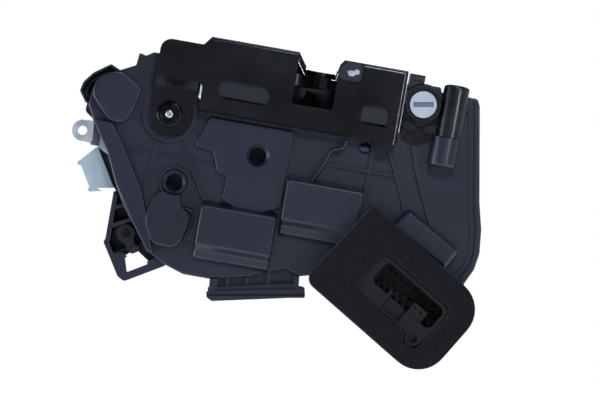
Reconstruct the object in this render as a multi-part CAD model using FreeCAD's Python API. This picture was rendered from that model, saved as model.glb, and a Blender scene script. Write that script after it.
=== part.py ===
import FreeCAD, Part
import math
import os

from FreeCAD import Vector

os.makedirs("parts", exist_ok=True)

# A side door lock, in millimetres. X runs along the steel face plate, Z stands out of it,
# and -Y faces the cabin. The origin is midway between the two threaded holes.

# Steel latch plate
plate_t = 2.0
flange_y = -27.0
plate_back = 28.0
plate_left = -44.0
plate_right = 38.9
flange_left = -64.6
flange_step = 4.0
flange_drop = 30.5
side_depth = 20.0
side_drop = 25.8
trough_left = -7.4
trough_right = 10.3
trough_depth = 5.2
notch_depth = 22.2
bolt_pitch = 62.0
thread_r = 3.4
bush_r = 5.5
bush_length = 10.0
tab_x = -56.4
tab_z = -34.9
tab_r = 9.7
tab_y = -21.5
rivet_r = 2.6
bend_r = 1.6

# Striker mouth, claw and pawl
mouth_x = 2.9
mouth_w = 12.6
mouth_end = 13.8
striker_r = 4.25
claw_x = -16.0
claw_y = 6.0
claw_hub_r = 9.0
claw_t = 5.0
claw_gap = 1.0
claw_swing = 55.0
coat_t = 1.0
pawl_x = 21.0
pawl_y = -9.0
pawl_hub_r = 6.0
pawl_nose_r = 22.3
pawl_swing = 11.0
pin_r = 4.0
spigot_r = 3.0
spring_wire_r = 0.7

# Latch case
case_wall = 2.0
case_floor = 22.0
case_back = 26.0
back_plate_t = 2.0

# Actuator housing
cover_y = -17.0
split_y = -4.0
rear_y = 13.0
wall = 2.2
edge_r = 0.8
block_r = 1.4

# Motors and gears
motor_y = -11.6
motor_half_y = 9.4
motor_half_z = 5.9
motor_length = 25.0
motor_nose = 1.6
bulge_toe = 7.0
gear_module = 0.6
gear_teeth = 20
gear_t = 3.6
gear_pin_r = 1.5
worm_root_r = 1.75
worm_tip_r = 2.9
worm_turns = 5
worm_pitch_r = 2.45
pinion_teeth = 8
pinion_module = 0.8
sector_teeth = 24

# Key spindle and emergency lock spindle
key_x = 47.2
key_z = -12.8
key_r = 5.6
key_shaft_r = 4.0
collar_r = 7.4
tube_x = 60.0
tube_r = 5.4
tube_top = -2.4
tube_low = -37.1
barrel_r = 3.6
cup_x = 59.2
cup_r = 5.8
sleeve_low = -24.4

# Levers on the left
lever_t = 2.0
lever_y = -12.0
lever_x = -66.0
lever_z = -60.0
eye_x = -91.5
eye_z = -47.8
eye_r = 4.5
eye_hole_r = 1.9
lever_pin_r = 2.5
inside_x = -66.5
inside_z = -87.5

# Connector, square to a line turned down to the right
plug_turn = -31.3
foam_y = -36.0
foam_t = 5.0
shell_y = -33.5
deck_t = 2.5
shell_wall = 1.6
plug_depth = 14.0

# Striker buffer
buffer_w = 10.4
buffer_y0 = 12.2
buffer_y1 = 17.6

# Ear of the rear housing, at the far left
rim_w = 0.9

# Foot rail
foot_turn = 10.0
foot_y = -13.0
foot_depth = 16.0

# Clearances
run = 0.05
gap = 0.3
fit = 0.1


def at_y(y):
    return lambda a, b: Vector(a, y, b)


def at_z(z):
    return lambda a, b: Vector(a, b, z)


def at_x(x):
    return lambda a, b: Vector(x, a, b)


def turned(points, degrees, x0=0.0, z0=0.0):
    """Outline points in a frame turned about (x0, z0), brought into the main frame."""
    c = math.cos(math.radians(degrees))
    s = math.sin(math.radians(degrees))
    return [(x0 + p[0] * c - p[1] * s, z0 + p[0] * s + p[1] * c) + tuple(p[2:]) for p in points]


def box_points(a0, b0, a1, b1, r=0.0):
    return [(a0, b0, r), (a1, b0, r), (a1, b1, r), (a0, b1, r)]


def arc_points(a, b, r, start, end, steps):
    points = []
    for i in range(steps + 1):
        turn = math.radians(start + (end - start) * i / steps)
        points.append((a + r * math.cos(turn), b + r * math.sin(turn)))
    return points


def wire(points, place):
    """A closed outline. Each point is (a, b) or (a, b, corner radius)."""
    spots = []
    count = len(points)
    for i, point in enumerate(points):
        here = Vector(point[0], point[1], 0)
        radius = point[2] if len(point) > 2 else 0.0
        before = Vector(points[i - 1][0], points[i - 1][1], 0) - here
        after = Vector(points[(i + 1) % count][0], points[(i + 1) % count][1], 0) - here
        inner = before.getAngle(after)
        if radius <= 0 or inner > math.radians(176):
            spots.append((here, None, here))
            continue
        reach = radius / math.tan(inner / 2)
        limit = 0.48 * min(before.Length, after.Length)
        if reach > limit:
            radius *= limit / reach
            reach = limit
        first = here + before.normalize() * reach
        last = here + after.normalize() * reach
        middle = (first + last) * 0.5 - here
        centre = here + middle * (math.hypot(radius, reach) / middle.Length)
        arc_mid = centre + (here - centre).normalize() * radius
        spots.append((first, arc_mid, last))
    edges = []
    for i, (first, arc_mid, last) in enumerate(spots):
        start = spots[i - 1][2]
        if (first - start).Length > 1e-6:
            edges.append(Part.makeLine(place(start.x, start.y), place(first.x, first.y)))
        if arc_mid is not None:
            three = [place(v.x, v.y) for v in (first, arc_mid, last)]
            edges.append(Part.Arc(*three).toShape())
    return Part.Wire(edges)


def slab_y(points, y0, y1):
    return Part.Face(wire(points, at_y(y0))).extrude(Vector(0, y1 - y0, 0))


def slab_z(points, z0, z1):
    return Part.Face(wire(points, at_z(z0))).extrude(Vector(0, 0, z1 - z0))


def slab_x(points, x0, x1):
    return Part.Face(wire(points, at_x(x0))).extrude(Vector(x1 - x0, 0, 0))


def rod_x(y, z, r, x0, x1):
    return Part.makeCylinder(r, x1 - x0, Vector(x0, y, z), Vector(1, 0, 0))


def rod_y(x, z, r, y0, y1):
    return Part.makeCylinder(r, y1 - y0, Vector(x, y0, z), Vector(0, 1, 0))


def rod_z(x, y, r, z0, z1):
    return Part.makeCylinder(r, z1 - z0, Vector(x, y, z0), Vector(0, 0, 1))


def cone_y(x, z, r0, r1, y0, y1):
    return Part.makeCone(r0, r1, y1 - y0, Vector(x, y0, z), Vector(0, 1, 0))


def block(x0, x1, y0, y1, z0, z1):
    return Part.makeBox(x1 - x0, y1 - y0, z1 - z0, Vector(x0, y0, z0))


def joined(shapes):
    whole = shapes[0].multiFuse(shapes[1:]) if len(shapes) > 1 else shapes[0]
    return whole.removeSplitter()


def inset(points, d):
    """The outline moved inwards by d, each side kept parallel (outwards when d is negative)."""
    area = 0.0
    for i, p in enumerate(points):
        area += points[i - 1][0] * p[1] - p[0] * points[i - 1][1]
    side = 1.0 if area > 0 else -1.0
    moved = []
    count = len(points)
    for i, p in enumerate(points):
        a = points[i - 1]
        b = points[(i + 1) % count]
        u = Vector(p[0] - a[0], p[1] - a[1], 0).normalize()
        v = Vector(b[0] - p[0], b[1] - p[1], 0).normalize()
        n = Vector(-u.y, u.x, 0) * side
        m = Vector(-v.y, v.x, 0) * side
        bend = n + m
        shift = bend * (2 * d / (bend.Length ** 2))
        turn = (u.x * v.y - u.y * v.x) * side
        radius = p[2] if len(p) > 2 else 0.0
        radius = max(radius - d, 0.0) if turn > 0 else (radius + d if radius > 0 else 0.0)
        moved.append((p[0] + shift.x, p[1] + shift.y, radius))
    return moved


def strip(points, width):
    """The outline of a rib of even width along an open line."""
    left = []
    right = []
    last = len(points) - 1
    for i, p in enumerate(points):
        a = points[max(i - 1, 0)]
        b = points[min(i + 1, last)]
        u = Vector(p[0] - a[0], p[1] - a[1], 0) if i > 0 else Vector(b[0] - p[0], b[1] - p[1], 0)
        v = Vector(b[0] - p[0], b[1] - p[1], 0) if i < last else u
        n = Vector(-u.y, u.x, 0).normalize()
        m = Vector(-v.y, v.x, 0).normalize()
        bend = n + m
        shift = bend * (width / (bend.Length ** 2))
        left.append((p[0] + shift.x, p[1] + shift.y))
        right.append((p[0] - shift.x, p[1] - shift.y))
    return left + right[::-1]


def edges_at_y(shape, y):
    boxes = [(e, e.BoundBox) for e in shape.Edges]
    return [e for e, b in boxes if abs(b.YMin - y) < 1e-4 and abs(b.YMax - y) < 1e-4]


def bead(points, y, r):
    """A round ridge along an open line."""
    shapes = []
    for i, (x, z) in enumerate(points):
        here = Vector(x, y, z)
        shapes.append(Part.makeSphere(r, here))
        if i > 0:
            before = Vector(points[i - 1][0], y, points[i - 1][1])
            way = here - before
            shapes.append(Part.makeCylinder(r, way.Length, before, way))
    return joined(shapes)


def raised(points, front, back, radius):
    """A block that stands towards the cabin, with its front edges rounded."""
    body = slab_y(points, front, back)
    return body.makeFillet(radius, edges_at_y(body, front))


def save(name, shape):
    solids = len(shape.Solids)
    print(f"{name}: {solids} solids, {shape.Volume:.0f} mm3, valid {shape.isValid()}")
    shape.exportStep(f"parts/{name}.step")


def group(shapes):
    return Part.Compound(shapes)


# Latch plate: face plate with a dished mouth, cabin side flange with a joggled tab, side flange
flange_in = flange_y + plate_t
trough_floor = -trough_depth
mouth_r = mouth_w / 2
dish = 3.6
nose_x0 = trough_right + 0.3
nose_x1 = nose_x0 + 9.6
nose_back = -21.5
nose_drop = 8.7
hem_x0 = 29.7
hem_x1 = 37.3
hem_z = -34.2
tab_left = flange_left
tab_right = tab_x + tab_r
bend_top = -19.8
bend_low = -23.6
half_pitch = bolt_pitch / 2
trough_step = 2.2
trough_lip = trough_right + 1.6


def face_profile(lift):
    return [
        (plate_left, lift),
        (trough_left, lift),
        (trough_left + dish, trough_floor + lift),
        (trough_right - 0.6, trough_floor + lift),
        (trough_right, lift - trough_step),
        (trough_lip, lift),
        (plate_right, lift),
    ]


def ring_y(x, z, r0, r1, y0, y1):
    return rod_y(x, z, r1, y0, y1).cut(rod_y(x, z, r0, y0 - 1, y1 + 1))


def bend_x(y, z, r, x0, x1):
    """What lies outside a rounded bend along X whose outer faces meet at (y, z)."""
    return block(x0, x1, y - 1, y + r, z - r, z + 1).cut(rod_x(y + r, z - r, r, x0, x1))


def bend_z(x, y, r, z0, z1):
    """What lies outside a rounded bend along Z whose outer faces meet at (x, y)."""
    return block(x - r, x + 1, y - 1, y + r, z0, z1).cut(rod_z(x - r, y + r, r, z0, z1))


def latch_plate():
    top = face_profile(0.0)
    low = face_profile(-plate_t)[::-1]
    shape = slab_y(top + low, flange_y + plate_t, plate_back)
    flange = slab_y(
        [
            (plate_left, 0, 1.0),
            (trough_left, 0, 0.6),
            (trough_left + 0.3, -notch_depth, 2.2),
            (trough_right - 0.1, -notch_depth, 2.2),
            (trough_right, -trough_step, 0.8),
            (trough_lip, 0, 0.8),
            (plate_right, 0),
            (plate_right, -flange_drop, 1.0),
            (hem_x1, hem_z, 0.8),
            (hem_x0, hem_z, 0.8),
            (hem_x0, -flange_drop, 0.8),
            (plate_left - 0.6, -flange_drop, 0.6),
            (plate_left - 0.7, bend_top - 1.2, 1.5),
            (tab_right + 0.1, bend_top, 0.4),
            (flange_left, bend_top, 0),
            (flange_left, -flange_step, 4.6),
            (-47.0, -flange_step, 1.2),
        ],
        flange_y,
        flange_in,
    )
    bend = slab_x(
        [(flange_y, bend_top), (flange_in, bend_top), (tab_y + plate_t, bend_low), (tab_y, bend_low)],
        tab_left,
        tab_right,
    )
    tab = slab_y(
        [
            (tab_left, bend_low),
            (tab_right, bend_low),
            (tab_right, tab_z - tab_r, tab_r),
            (tab_left - 0.6, tab_z - tab_r, tab_r),
        ],
        tab_y,
        tab_y + plate_t,
    )
    side = block(plate_right - plate_t, plate_right, flange_y, flange_in + side_depth, -side_drop, 0)
    skirt = block(plate_right - plate_t, plate_right, flange_y, cover_y - gap, -flange_drop, 0)
    shape = joined([shape, flange, bend, tab, side, skirt])
    mouth = slab_z(
        [
            (mouth_x - mouth_r, flange_y - 1),
            (mouth_x + mouth_r, flange_y - 1),
            (mouth_x + mouth_r, mouth_end, mouth_r),
            (mouth_x - mouth_r, mouth_end, mouth_r),
        ],
        -notch_depth,
        1,
    )
    cuts = [
        mouth,
        slab_y(box_points(-38.0, -24.8, -16.2, -16.8, 3.4), flange_y - 1, flange_in + 1),
        slab_y(box_points(22.4, -25.0, 34.1, -16.8, 1.6), flange_y - 1, flange_in + 1),
        block(trough_right - 1.0, nose_x1, flange_y - 1, nose_back, -nose_drop, 1),
        bend_x(flange_y, 0, bend_r, flange_left, plate_right + 1),
        bend_z(plate_right, flange_y, bend_r, -flange_drop - 1, 1),
        rod_y(tab_x, tab_z, rivet_r, tab_y - 1, tab_y + plate_t + 1),
        rod_z(claw_x, claw_y, spigot_r, -plate_t - 1, 1),
        rod_z(pawl_x, pawl_y, spigot_r, -plate_t - 1, 1),
    ]
    for x in (-half_pitch, half_pitch):
        cuts.append(rod_z(x, 0, thread_r, -plate_t - 1, 1))
    return shape.cut(cuts)


save("latch_plate", latch_plate())

bushes = []
for x in (-half_pitch, half_pitch):
    ring = rod_z(x, 0, bush_r, -plate_t - bush_length, -plate_t)
    bushes.append(ring.cut(rod_z(x, 0, thread_r, -plate_t - bush_length - 1, 1)))
save("thread_bushes", group(bushes))

# Claw, its coat and pin
claw_top = trough_floor - plate_t - claw_gap
claw_low = claw_top - claw_t
reach = mouth_x - claw_x
slot_r = striker_r + 0.65
jaw_tip = 28.8
hook_tip = 23.0
jaw_h = 6.0


def swung_z(shape, x, y, degrees):
    copy = shape.copy()
    copy.rotate(Vector(x, y, 0), Vector(0, 0, 1), degrees)
    return copy


def claw_points():
    """Closed position, about the claw pin."""
    return [
        (0, claw_hub_r, 4.0),
        (9.0, slot_r + jaw_h, 4.0),
        (jaw_tip - 3.0, slot_r + jaw_h, 3.0),
        (jaw_tip, slot_r + 3.0, 1.5),
        (jaw_tip - 0.6, slot_r, 1.0),
        (reach - slot_r, slot_r, slot_r),
        (reach - slot_r, -slot_r, slot_r),
        (hook_tip, -slot_r, 1.2),
        (hook_tip, -slot_r - 3.0, 2.0),
        (18.0, -slot_r - jaw_h, 3.0),
        (6.0, -claw_hub_r - 0.6, 5.0),
        (-claw_hub_r, -claw_hub_r, claw_hub_r * 0.9),
        (-claw_hub_r, claw_hub_r, claw_hub_r * 0.9),
    ]


def placed(points, x, y):
    return [(p[0] + x, p[1] + y) + tuple(p[2:]) for p in points]


catch = rod_z(pawl_x, pawl_y, pawl_nose_r + 0.15, claw_low - 1, claw_top + 1).common(
    block(claw_x + reach + 2, pawl_x, claw_y + slot_r - 1.5, pawl_y + 40, claw_low - 1, claw_top + 1)
)
claw_whole = slab_z(placed(claw_points(), claw_x, claw_y), claw_low, claw_top)
claw_bore = rod_z(claw_x, claw_y, pin_r + run, claw_low - 1, claw_top + 1)
claw_whole = claw_whole.cut([claw_bore, catch])
tip_zone = block(claw_x + reach + 3, claw_x + 40, claw_y, claw_y + 20, claw_low, claw_top)
steel = slab_z(inset(placed(claw_points(), claw_x, claw_y), coat_t), claw_low, claw_top)
steel = steel.fuse(tip_zone).common(claw_whole)
coat = claw_whole.cut(steel)
save("claw", swung_z(steel, claw_x, claw_y, -claw_swing))
save("claw_coat", swung_z(coat, claw_x, claw_y, -claw_swing))

case_bottom = -case_floor - case_wall
back_low = case_bottom - back_plate_t


def latch_pin(x, y):
    return joined(
        [
            rod_z(x, y, spigot_r, -plate_t, 0),
            rod_z(x, y, pin_r, case_bottom, -plate_t),
            rod_z(x, y, spigot_r, back_low, case_bottom),
        ]
    )


save("claw_pin", latch_pin(claw_x, claw_y))
save("pawl_pin", latch_pin(pawl_x, pawl_y))

# Pawl: its nose ends on a circle about its own pin, so it leaves the claw without lifting it
nose = [
    (-11.4, 23.5),
    (-8.2, 26.0),
    (-5.0, 18.0, 1.0),
    (-2.6, 4.0, 2.0),
    (pawl_hub_r * 0.9, 0.0, 3.0),
    (-pawl_hub_r, -1.0, 1.0),
    (-8.6, 16.0, 1.0),
    (-11.4, 17.6, 0.6),
]
pawl_arm = slab_z(placed(nose, pawl_x, pawl_y), claw_low, claw_top)
pawl_arm = pawl_arm.common(rod_z(pawl_x, pawl_y, pawl_nose_r, claw_low, claw_top))
tail_points = [(-3, -4, 1), (10.0, -8.6, 2.2), (11.6, -4.4, 2.2), (1, 5, 1)]
tail = slab_z(placed(tail_points, pawl_x, pawl_y), claw_low, claw_top)
pawl = joined([rod_z(pawl_x, pawl_y, pawl_hub_r, claw_low, claw_top), pawl_arm, tail])
pawl = pawl.cut(rod_z(pawl_x, pawl_y, pin_r + run, claw_low - 1, claw_top + 1))
save("pawl", swung_z(pawl, pawl_x, pawl_y, -pawl_swing))


def coil(x, y, radius, z_low, turns, wire_r):
    """A close wound spring that stands on z_low."""
    pitch = 2.4 * wire_r
    line = Part.makeHelix(pitch, pitch * turns, radius)
    corners = []
    for i in range(8):
        a = math.radians(45.0 * i + 22.5)
        corners.append(Vector(radius + wire_r * math.cos(a), 0, wire_r * math.sin(a)))
    ring = Part.makePolygon(corners + [corners[0]])
    body = Part.Wire(line.Edges).makePipeShell([ring], True, True)
    body.translate(Vector(x, y, z_low + wire_r))
    return body


save("claw_spring", coil(claw_x, claw_y, pin_r + 1.2, claw_top + gap, 2, spring_wire_r))
save("pawl_spring", coil(pawl_x, pawl_y, pin_r + 1.2, claw_top + gap, 2, spring_wire_r))

# Latch case, open towards the face plate
case_top = -plate_t - fit
case_front = flange_in + gap
case_right = plate_right - plate_t - gap
case_outline = box_points(plate_left + 1.7, case_front, case_right, case_back, 3.0)
case_trough = [(trough_left, 1)] + face_profile(-plate_t)[1:-1] + [(trough_lip, 1)]
bush_room = 0.5
buffer_outline = box_points(mouth_x - buffer_w / 2, buffer_y0, mouth_x + buffer_w / 2, buffer_y1)


def nose_block():
    """The part of the case that shows beside the mouth, its upper left corner cut off."""
    left, right = nose_x0 + gap, nose_x1 - gap
    low, high = -nose_drop + gap, -0.7
    points = [(left, low, 1.6), (right, low, 1.6), (right, high, 1.8), (left + 2.4, high, 1.0)]
    points.append((left, high - 2.4, 1.0))
    return slab_y(points, flange_y + 0.4, case_front + 1)


def latch_case():
    shape = slab_z(case_outline, case_bottom, case_top)
    shape = shape.cut(slab_z(inset(case_outline, case_wall), -case_floor, case_top + 1))
    bosses = [
        rod_z(claw_x, claw_y, pin_r + 3.0, -case_floor - 1, claw_low - gap),
        rod_z(pawl_x, pawl_y, pin_r + 2.4, -case_floor - 1, claw_low - gap),
        nose_block(),
    ]
    shape = joined([shape] + bosses)
    window = (-bush_r - bush_room, bush_r + bush_room, -plate_t - bush_length - bush_room, 1)
    notch = (case_front - 1, case_front + case_wall, -notch_depth + 0.4, 1)
    cuts = [
        slab_y(inset(case_trough, -fit), case_front - 1, case_back + 1),
        block(trough_left + 0.3, trough_right - 0.1, *notch),
        block(case_right - case_wall - 1, case_right + 1, *window),
        rod_z(claw_x, claw_y, pin_r, case_bottom - 1, 0),
        rod_z(pawl_x, pawl_y, pin_r, case_bottom - 1, 0),
        slab_z(buffer_outline, -case_floor - 1, -case_floor + 1),
    ]
    return shape.cut(cuts)


save("latch_case", latch_case())
save("striker_buffer", slab_z(buffer_outline, -case_floor - 1, claw_low - 1.0))
back_plate = slab_z(box_points(-40.0, -20.0, 34.0, 22.0, 4.0), back_low, case_bottom)
pin_holes = [rod_z(x, y, spigot_r, back_low - 1, 0) for x, y in ((claw_x, claw_y), (pawl_x, pawl_y))]
save("back_plate", back_plate.cut(pin_holes))

# Motors, worms and wheels. The worm lies between motor and bearing post, the wheel beside it.
lock_motor_z = -77.9
lock_motor_x0 = -33.5
lock_wheel_x = -49.2
safe_motor_z = -61.5
safe_motor_x0 = 1.0
safe_wheel_x = 38.0
wheel_r = gear_module * gear_teeth / 2
worm_lead = math.pi * gear_module
centre_gap = wheel_r + worm_pitch_r
lock_wheel_z = lock_motor_z - centre_gap
safe_wheel_z = safe_motor_z + centre_gap
journal_r = 1.0
wheel_y0 = motor_y - gear_t / 2
wheel_y1 = motor_y + gear_t / 2
pinion_y1 = wheel_y1 + 4.4
sector_y0 = motor_y + worm_tip_r + 0.5
sector_y1 = sector_y0 + 2.4
rear_floor = rear_y - wall
half_worm = worm_lead * worm_turns / 2
lock_post_x = lock_wheel_x - half_worm - 1.2
safe_post_x = safe_wheel_x + half_worm + 1.2
post_t = 1.6
key_lever_y0 = motor_y + 3.6
key_lever_y1 = key_lever_y0 + 3.0

# Connector tower, in the turned frame: u along the long side, n across it
tower_u0 = 70.0
tower_u1 = 115.0
tower_n0 = -66.5
tower_n1 = -38.5


def plug_corner(u, n, r):
    return turned([(u, n, r)], plug_turn)[0]


# Housing outlines, seen from the cabin side
housing_top = back_low - gap
housing_left = -46.0
housing_right = plate_right + 0.7
shared_low = [
    (77.2, -84.0, 4.0),
    plug_corner(tower_u1, tower_n1, 6.0),
    plug_corner(tower_u1, tower_n0, 6.0),
    plug_corner(tower_u0, tower_n0, 3.0),
    (14.2, -91.0, 1.0),
    (7.9, -92.6, 1.0),
    (3.0, -90.0, 1.0),
    (-4.0, -92.6, 2.0),
    (-12.0, -96.2, 3.0),
    (-28.3, -100.0, 2.0),
    (-39.5, -100.0, 4.0),
    (-47.6, -97.4, 1.0),
    (-54.0, -94.0, 1.0),
    (-64.7, -81.8, 2.0),
    (-69.2, -76.0, 2.0),
]
shared_top = [
    (-67.5, -10.3, 1.2),
    (housing_left, -10.3, 1.0),
    (housing_left, housing_top, 1.0),
    (housing_right, housing_top, 1.0),
    (housing_right, -4.0, 1.0),
    (53.6, -4.0, 1.0),
    (54.2, -6.1, 0.8),
    (69.6, -6.1, 2.0),
    (71.0, -9.0, 1.0),
    (77.9, -48.9, 6.0),
    (80.6, -60.0, 6.0),
    (81.6, -70.0, 6.0),
    (80.5, -77.0, 5.0),
]
ear_notch = [(-74.0, -17.0, 1.0), (-73.5, -11.5, 0.8), (-70.5, -12.3, 0.8)]
ear_rim = [
    (-92.4, -35.9, 1.5),
    (-95.5, -31.6, 1.5),
    (-94.6, -27.6, 4.0),
    (-91.2, -23.2, 5.0),
    (-84.4, -18.3, 1.0),
    (-80.2, -20.2, 1.0),
]
cover_outline = (
    shared_top
    + shared_low
    + [
        (-74.2, -67.0, 2.0),
        (-79.7, -55.0, 3.0),
        (-87.8, -42.4, 1.5),
        (-91.0, -36.5, 2.0),
        (-90.2, -28.5, 5.0),
        (-86.8, -23.0, 5.0),
        (-80.5, -20.3, 3.0),
    ]
    + ear_notch
)
rear_outline = (
    shared_top
    + shared_low
    + [
        (-74.5, -70.0, 1.0),
        (-84.3, -53.9, 1.0),
        (-89.1, -41.9, 2.0),
        (-92.9, -39.4, 2.5),
    ]
    + ear_rim
    + ear_notch
)

# Raised forms of the front cover: outline, front level, edge radius
strap_points = [
    (-88.2, -41.8, 1.0),
    (-79.0, -42.6, 2.0),
    (-72.4, -51.8),
    (-62.6, -67.6),
    (-58.2, -79.0, 6.0),
    (-53.4, -93.0, 1.6),
    (-55.6, -93.4, 1.2),
    (-64.5, -81.5, 2.0),
    (-73.9, -66.9, 2.0),
    (-79.4, -55.0, 3.0),
]
boss_points = [
    (-79.4, -20.8, 6.0),
    (-69.2, -26.4, 2.5),
    (-71.6, -36.0, 6.0),
    (-74.0, -41.4, 4.0),
    (-80.6, -42.2, 6.0),
    (-89.8, -32.4, 6.0),
    (-89.6, -27.0, 8.0),
    (-86.0, -22.8, 8.0),
]
bulge_points = [
    (-57.4, -70.3, 3.0),
    (-54.9, -66.9, 1.5),
    (-46.5, -66.9, 1.5),
    (-45.0, -72.0, 1.0),
    (-40.6, -75.4, 2.5),
    (-41.0, -80.0, 8.0),
    (-43.0, -89.6, 6.0),
    (-55.0, -89.6, 6.0),
    (-59.4, -80.0, 8.0),
]
plateau_points = [
    (-39.6, -33.0, 2.0),
    (-43.6, -44.0, 3.0),
    (-43.0, -46.4, 1.0),
    (-36.2, -46.6, 2.0),
    (-32.2, -55.9, 2.0),
    (-28.4, -55.9, 0.6),
    (-28.6, -66.2, 1.0),
    (-17.9, -71.4, 30.0),
    (-4.0, -65.6, 0.6),
    (-4.0, -33.0, 0.4),
]
region_points = [
    (-4.4, -32.2, 0.4),
    (18.4, -31.9, 1.0),
    (18.4, -36.3, 1.2),
    (12.0, -38.2, 1.6),
    (10.8, -43.7, 3.0),
    (6.3, -54.0, 1.0),
    (-4.4, -54.0, 0.4),
]
conduit_points = [(49.3, -56.7, 1.5), (72.8, -70.0, 2.0), (68.0, -79.0, 0.8), (42.6, -65.2, 1.5)]
ridge_points = [(18.4, -33.0), (17.6, -36.2), (12.6, -38.3), (10.8, -43.7), (6.6, -52.8)]
hook_points = [(-43.2, -72.6), (-40.3, -73.4), (-39.2, -75.4), (-39.6, -79.0), (-42.4, -87.6)]
corner_pit = [(-54.6, -89.4, 0.3), (-51.2, -91.2, 0.3), (-53.4, -94.0, 0.3)]
screw_spots = [(-17.1, -45.6), (-49.5, -62.6)]
boss_top_y = cover_y - 2.2


def motor_form(z, x0, room):
    """A motor bulge: its section in Y and Z, drawn along X past both ends of the motor."""
    front = motor_y - motor_half_y - room["front"]
    low_front = front + room["step"]
    top = z + motor_half_z + room["side"]
    low = z - motor_half_z - room["side"]
    toe = low - bulge_toe
    points = [
        (cover_y + 1.0, top + 2.2),
        (cover_y, top + 2.0),
        (front, top, block_r),
        (front, low, block_r),
        (low_front, low - 2.4, 1.0),
        (low_front + 0.3, toe + 1.2, 1.0),
        (cover_y, toe),
        (cover_y + 1.0, toe),
    ]
    return points, x0 - room["left"], x0 + motor_length + room["right"]


safe_room = {"front": 4.5, "step": 4.0, "side": 2.6, "left": 4.0, "right": 3.2}
lock_room = {"front": 3.0, "step": 3.4, "side": 2.4, "left": 3.1, "right": 3.9}
block_c = motor_form(safe_motor_z, safe_motor_x0, safe_room)
block_d = motor_form(lock_motor_z, lock_motor_x0, lock_room)


def bulge_void(form):
    """The room inside a motor bulge, one wall in from its front, top, bottom and ends."""
    points, x0, x1 = form
    front, top = points[2][0] + wall, points[2][1] - wall
    low = points[3][1] + wall
    return slab_x(box_points(front, low, cover_y + wall + 1, top, 0.6), x0 + wall, x1 - wall)


def bulge_solid(form):
    points, x0, x1 = form
    shape = slab_x(points, x0, x1)
    boxes = [(e, e.BoundBox) for e in shape.Edges]
    ends = [e for e, b in boxes if b.XLength < 1e-6 and b.YMin < cover_y - 1.5 and b.YMax < cover_y + 0.5]
    return shape.makeFillet(block_r * 0.7, ends)


tower_points = box_points(tower_u0, tower_n0, tower_u1, tower_n1, 4.0)
cavity_points = box_points(78.6, -55.6, 110.0, -45.0, 2.5)
deck_y = foam_y + foam_t
shell_points = box_points(75.5, -62.6, 111.9, -43.2, 3.2)
body_points = inset(cavity_points, -shell_wall)
socket_floor = shell_y + plug_depth


outer_rib = [(69.2, -7.5), (76.2, -49.0), (78.8, -60.0), (79.8, -70.0), (78.8, -76.3), (74.8, -83.5)]
inner_rib = [(66.6, -8.0), (73.6, -50.0), (76.4, -62.0), (77.3, -70.0), (76.4, -75.5), (72.2, -82.5)]


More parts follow.
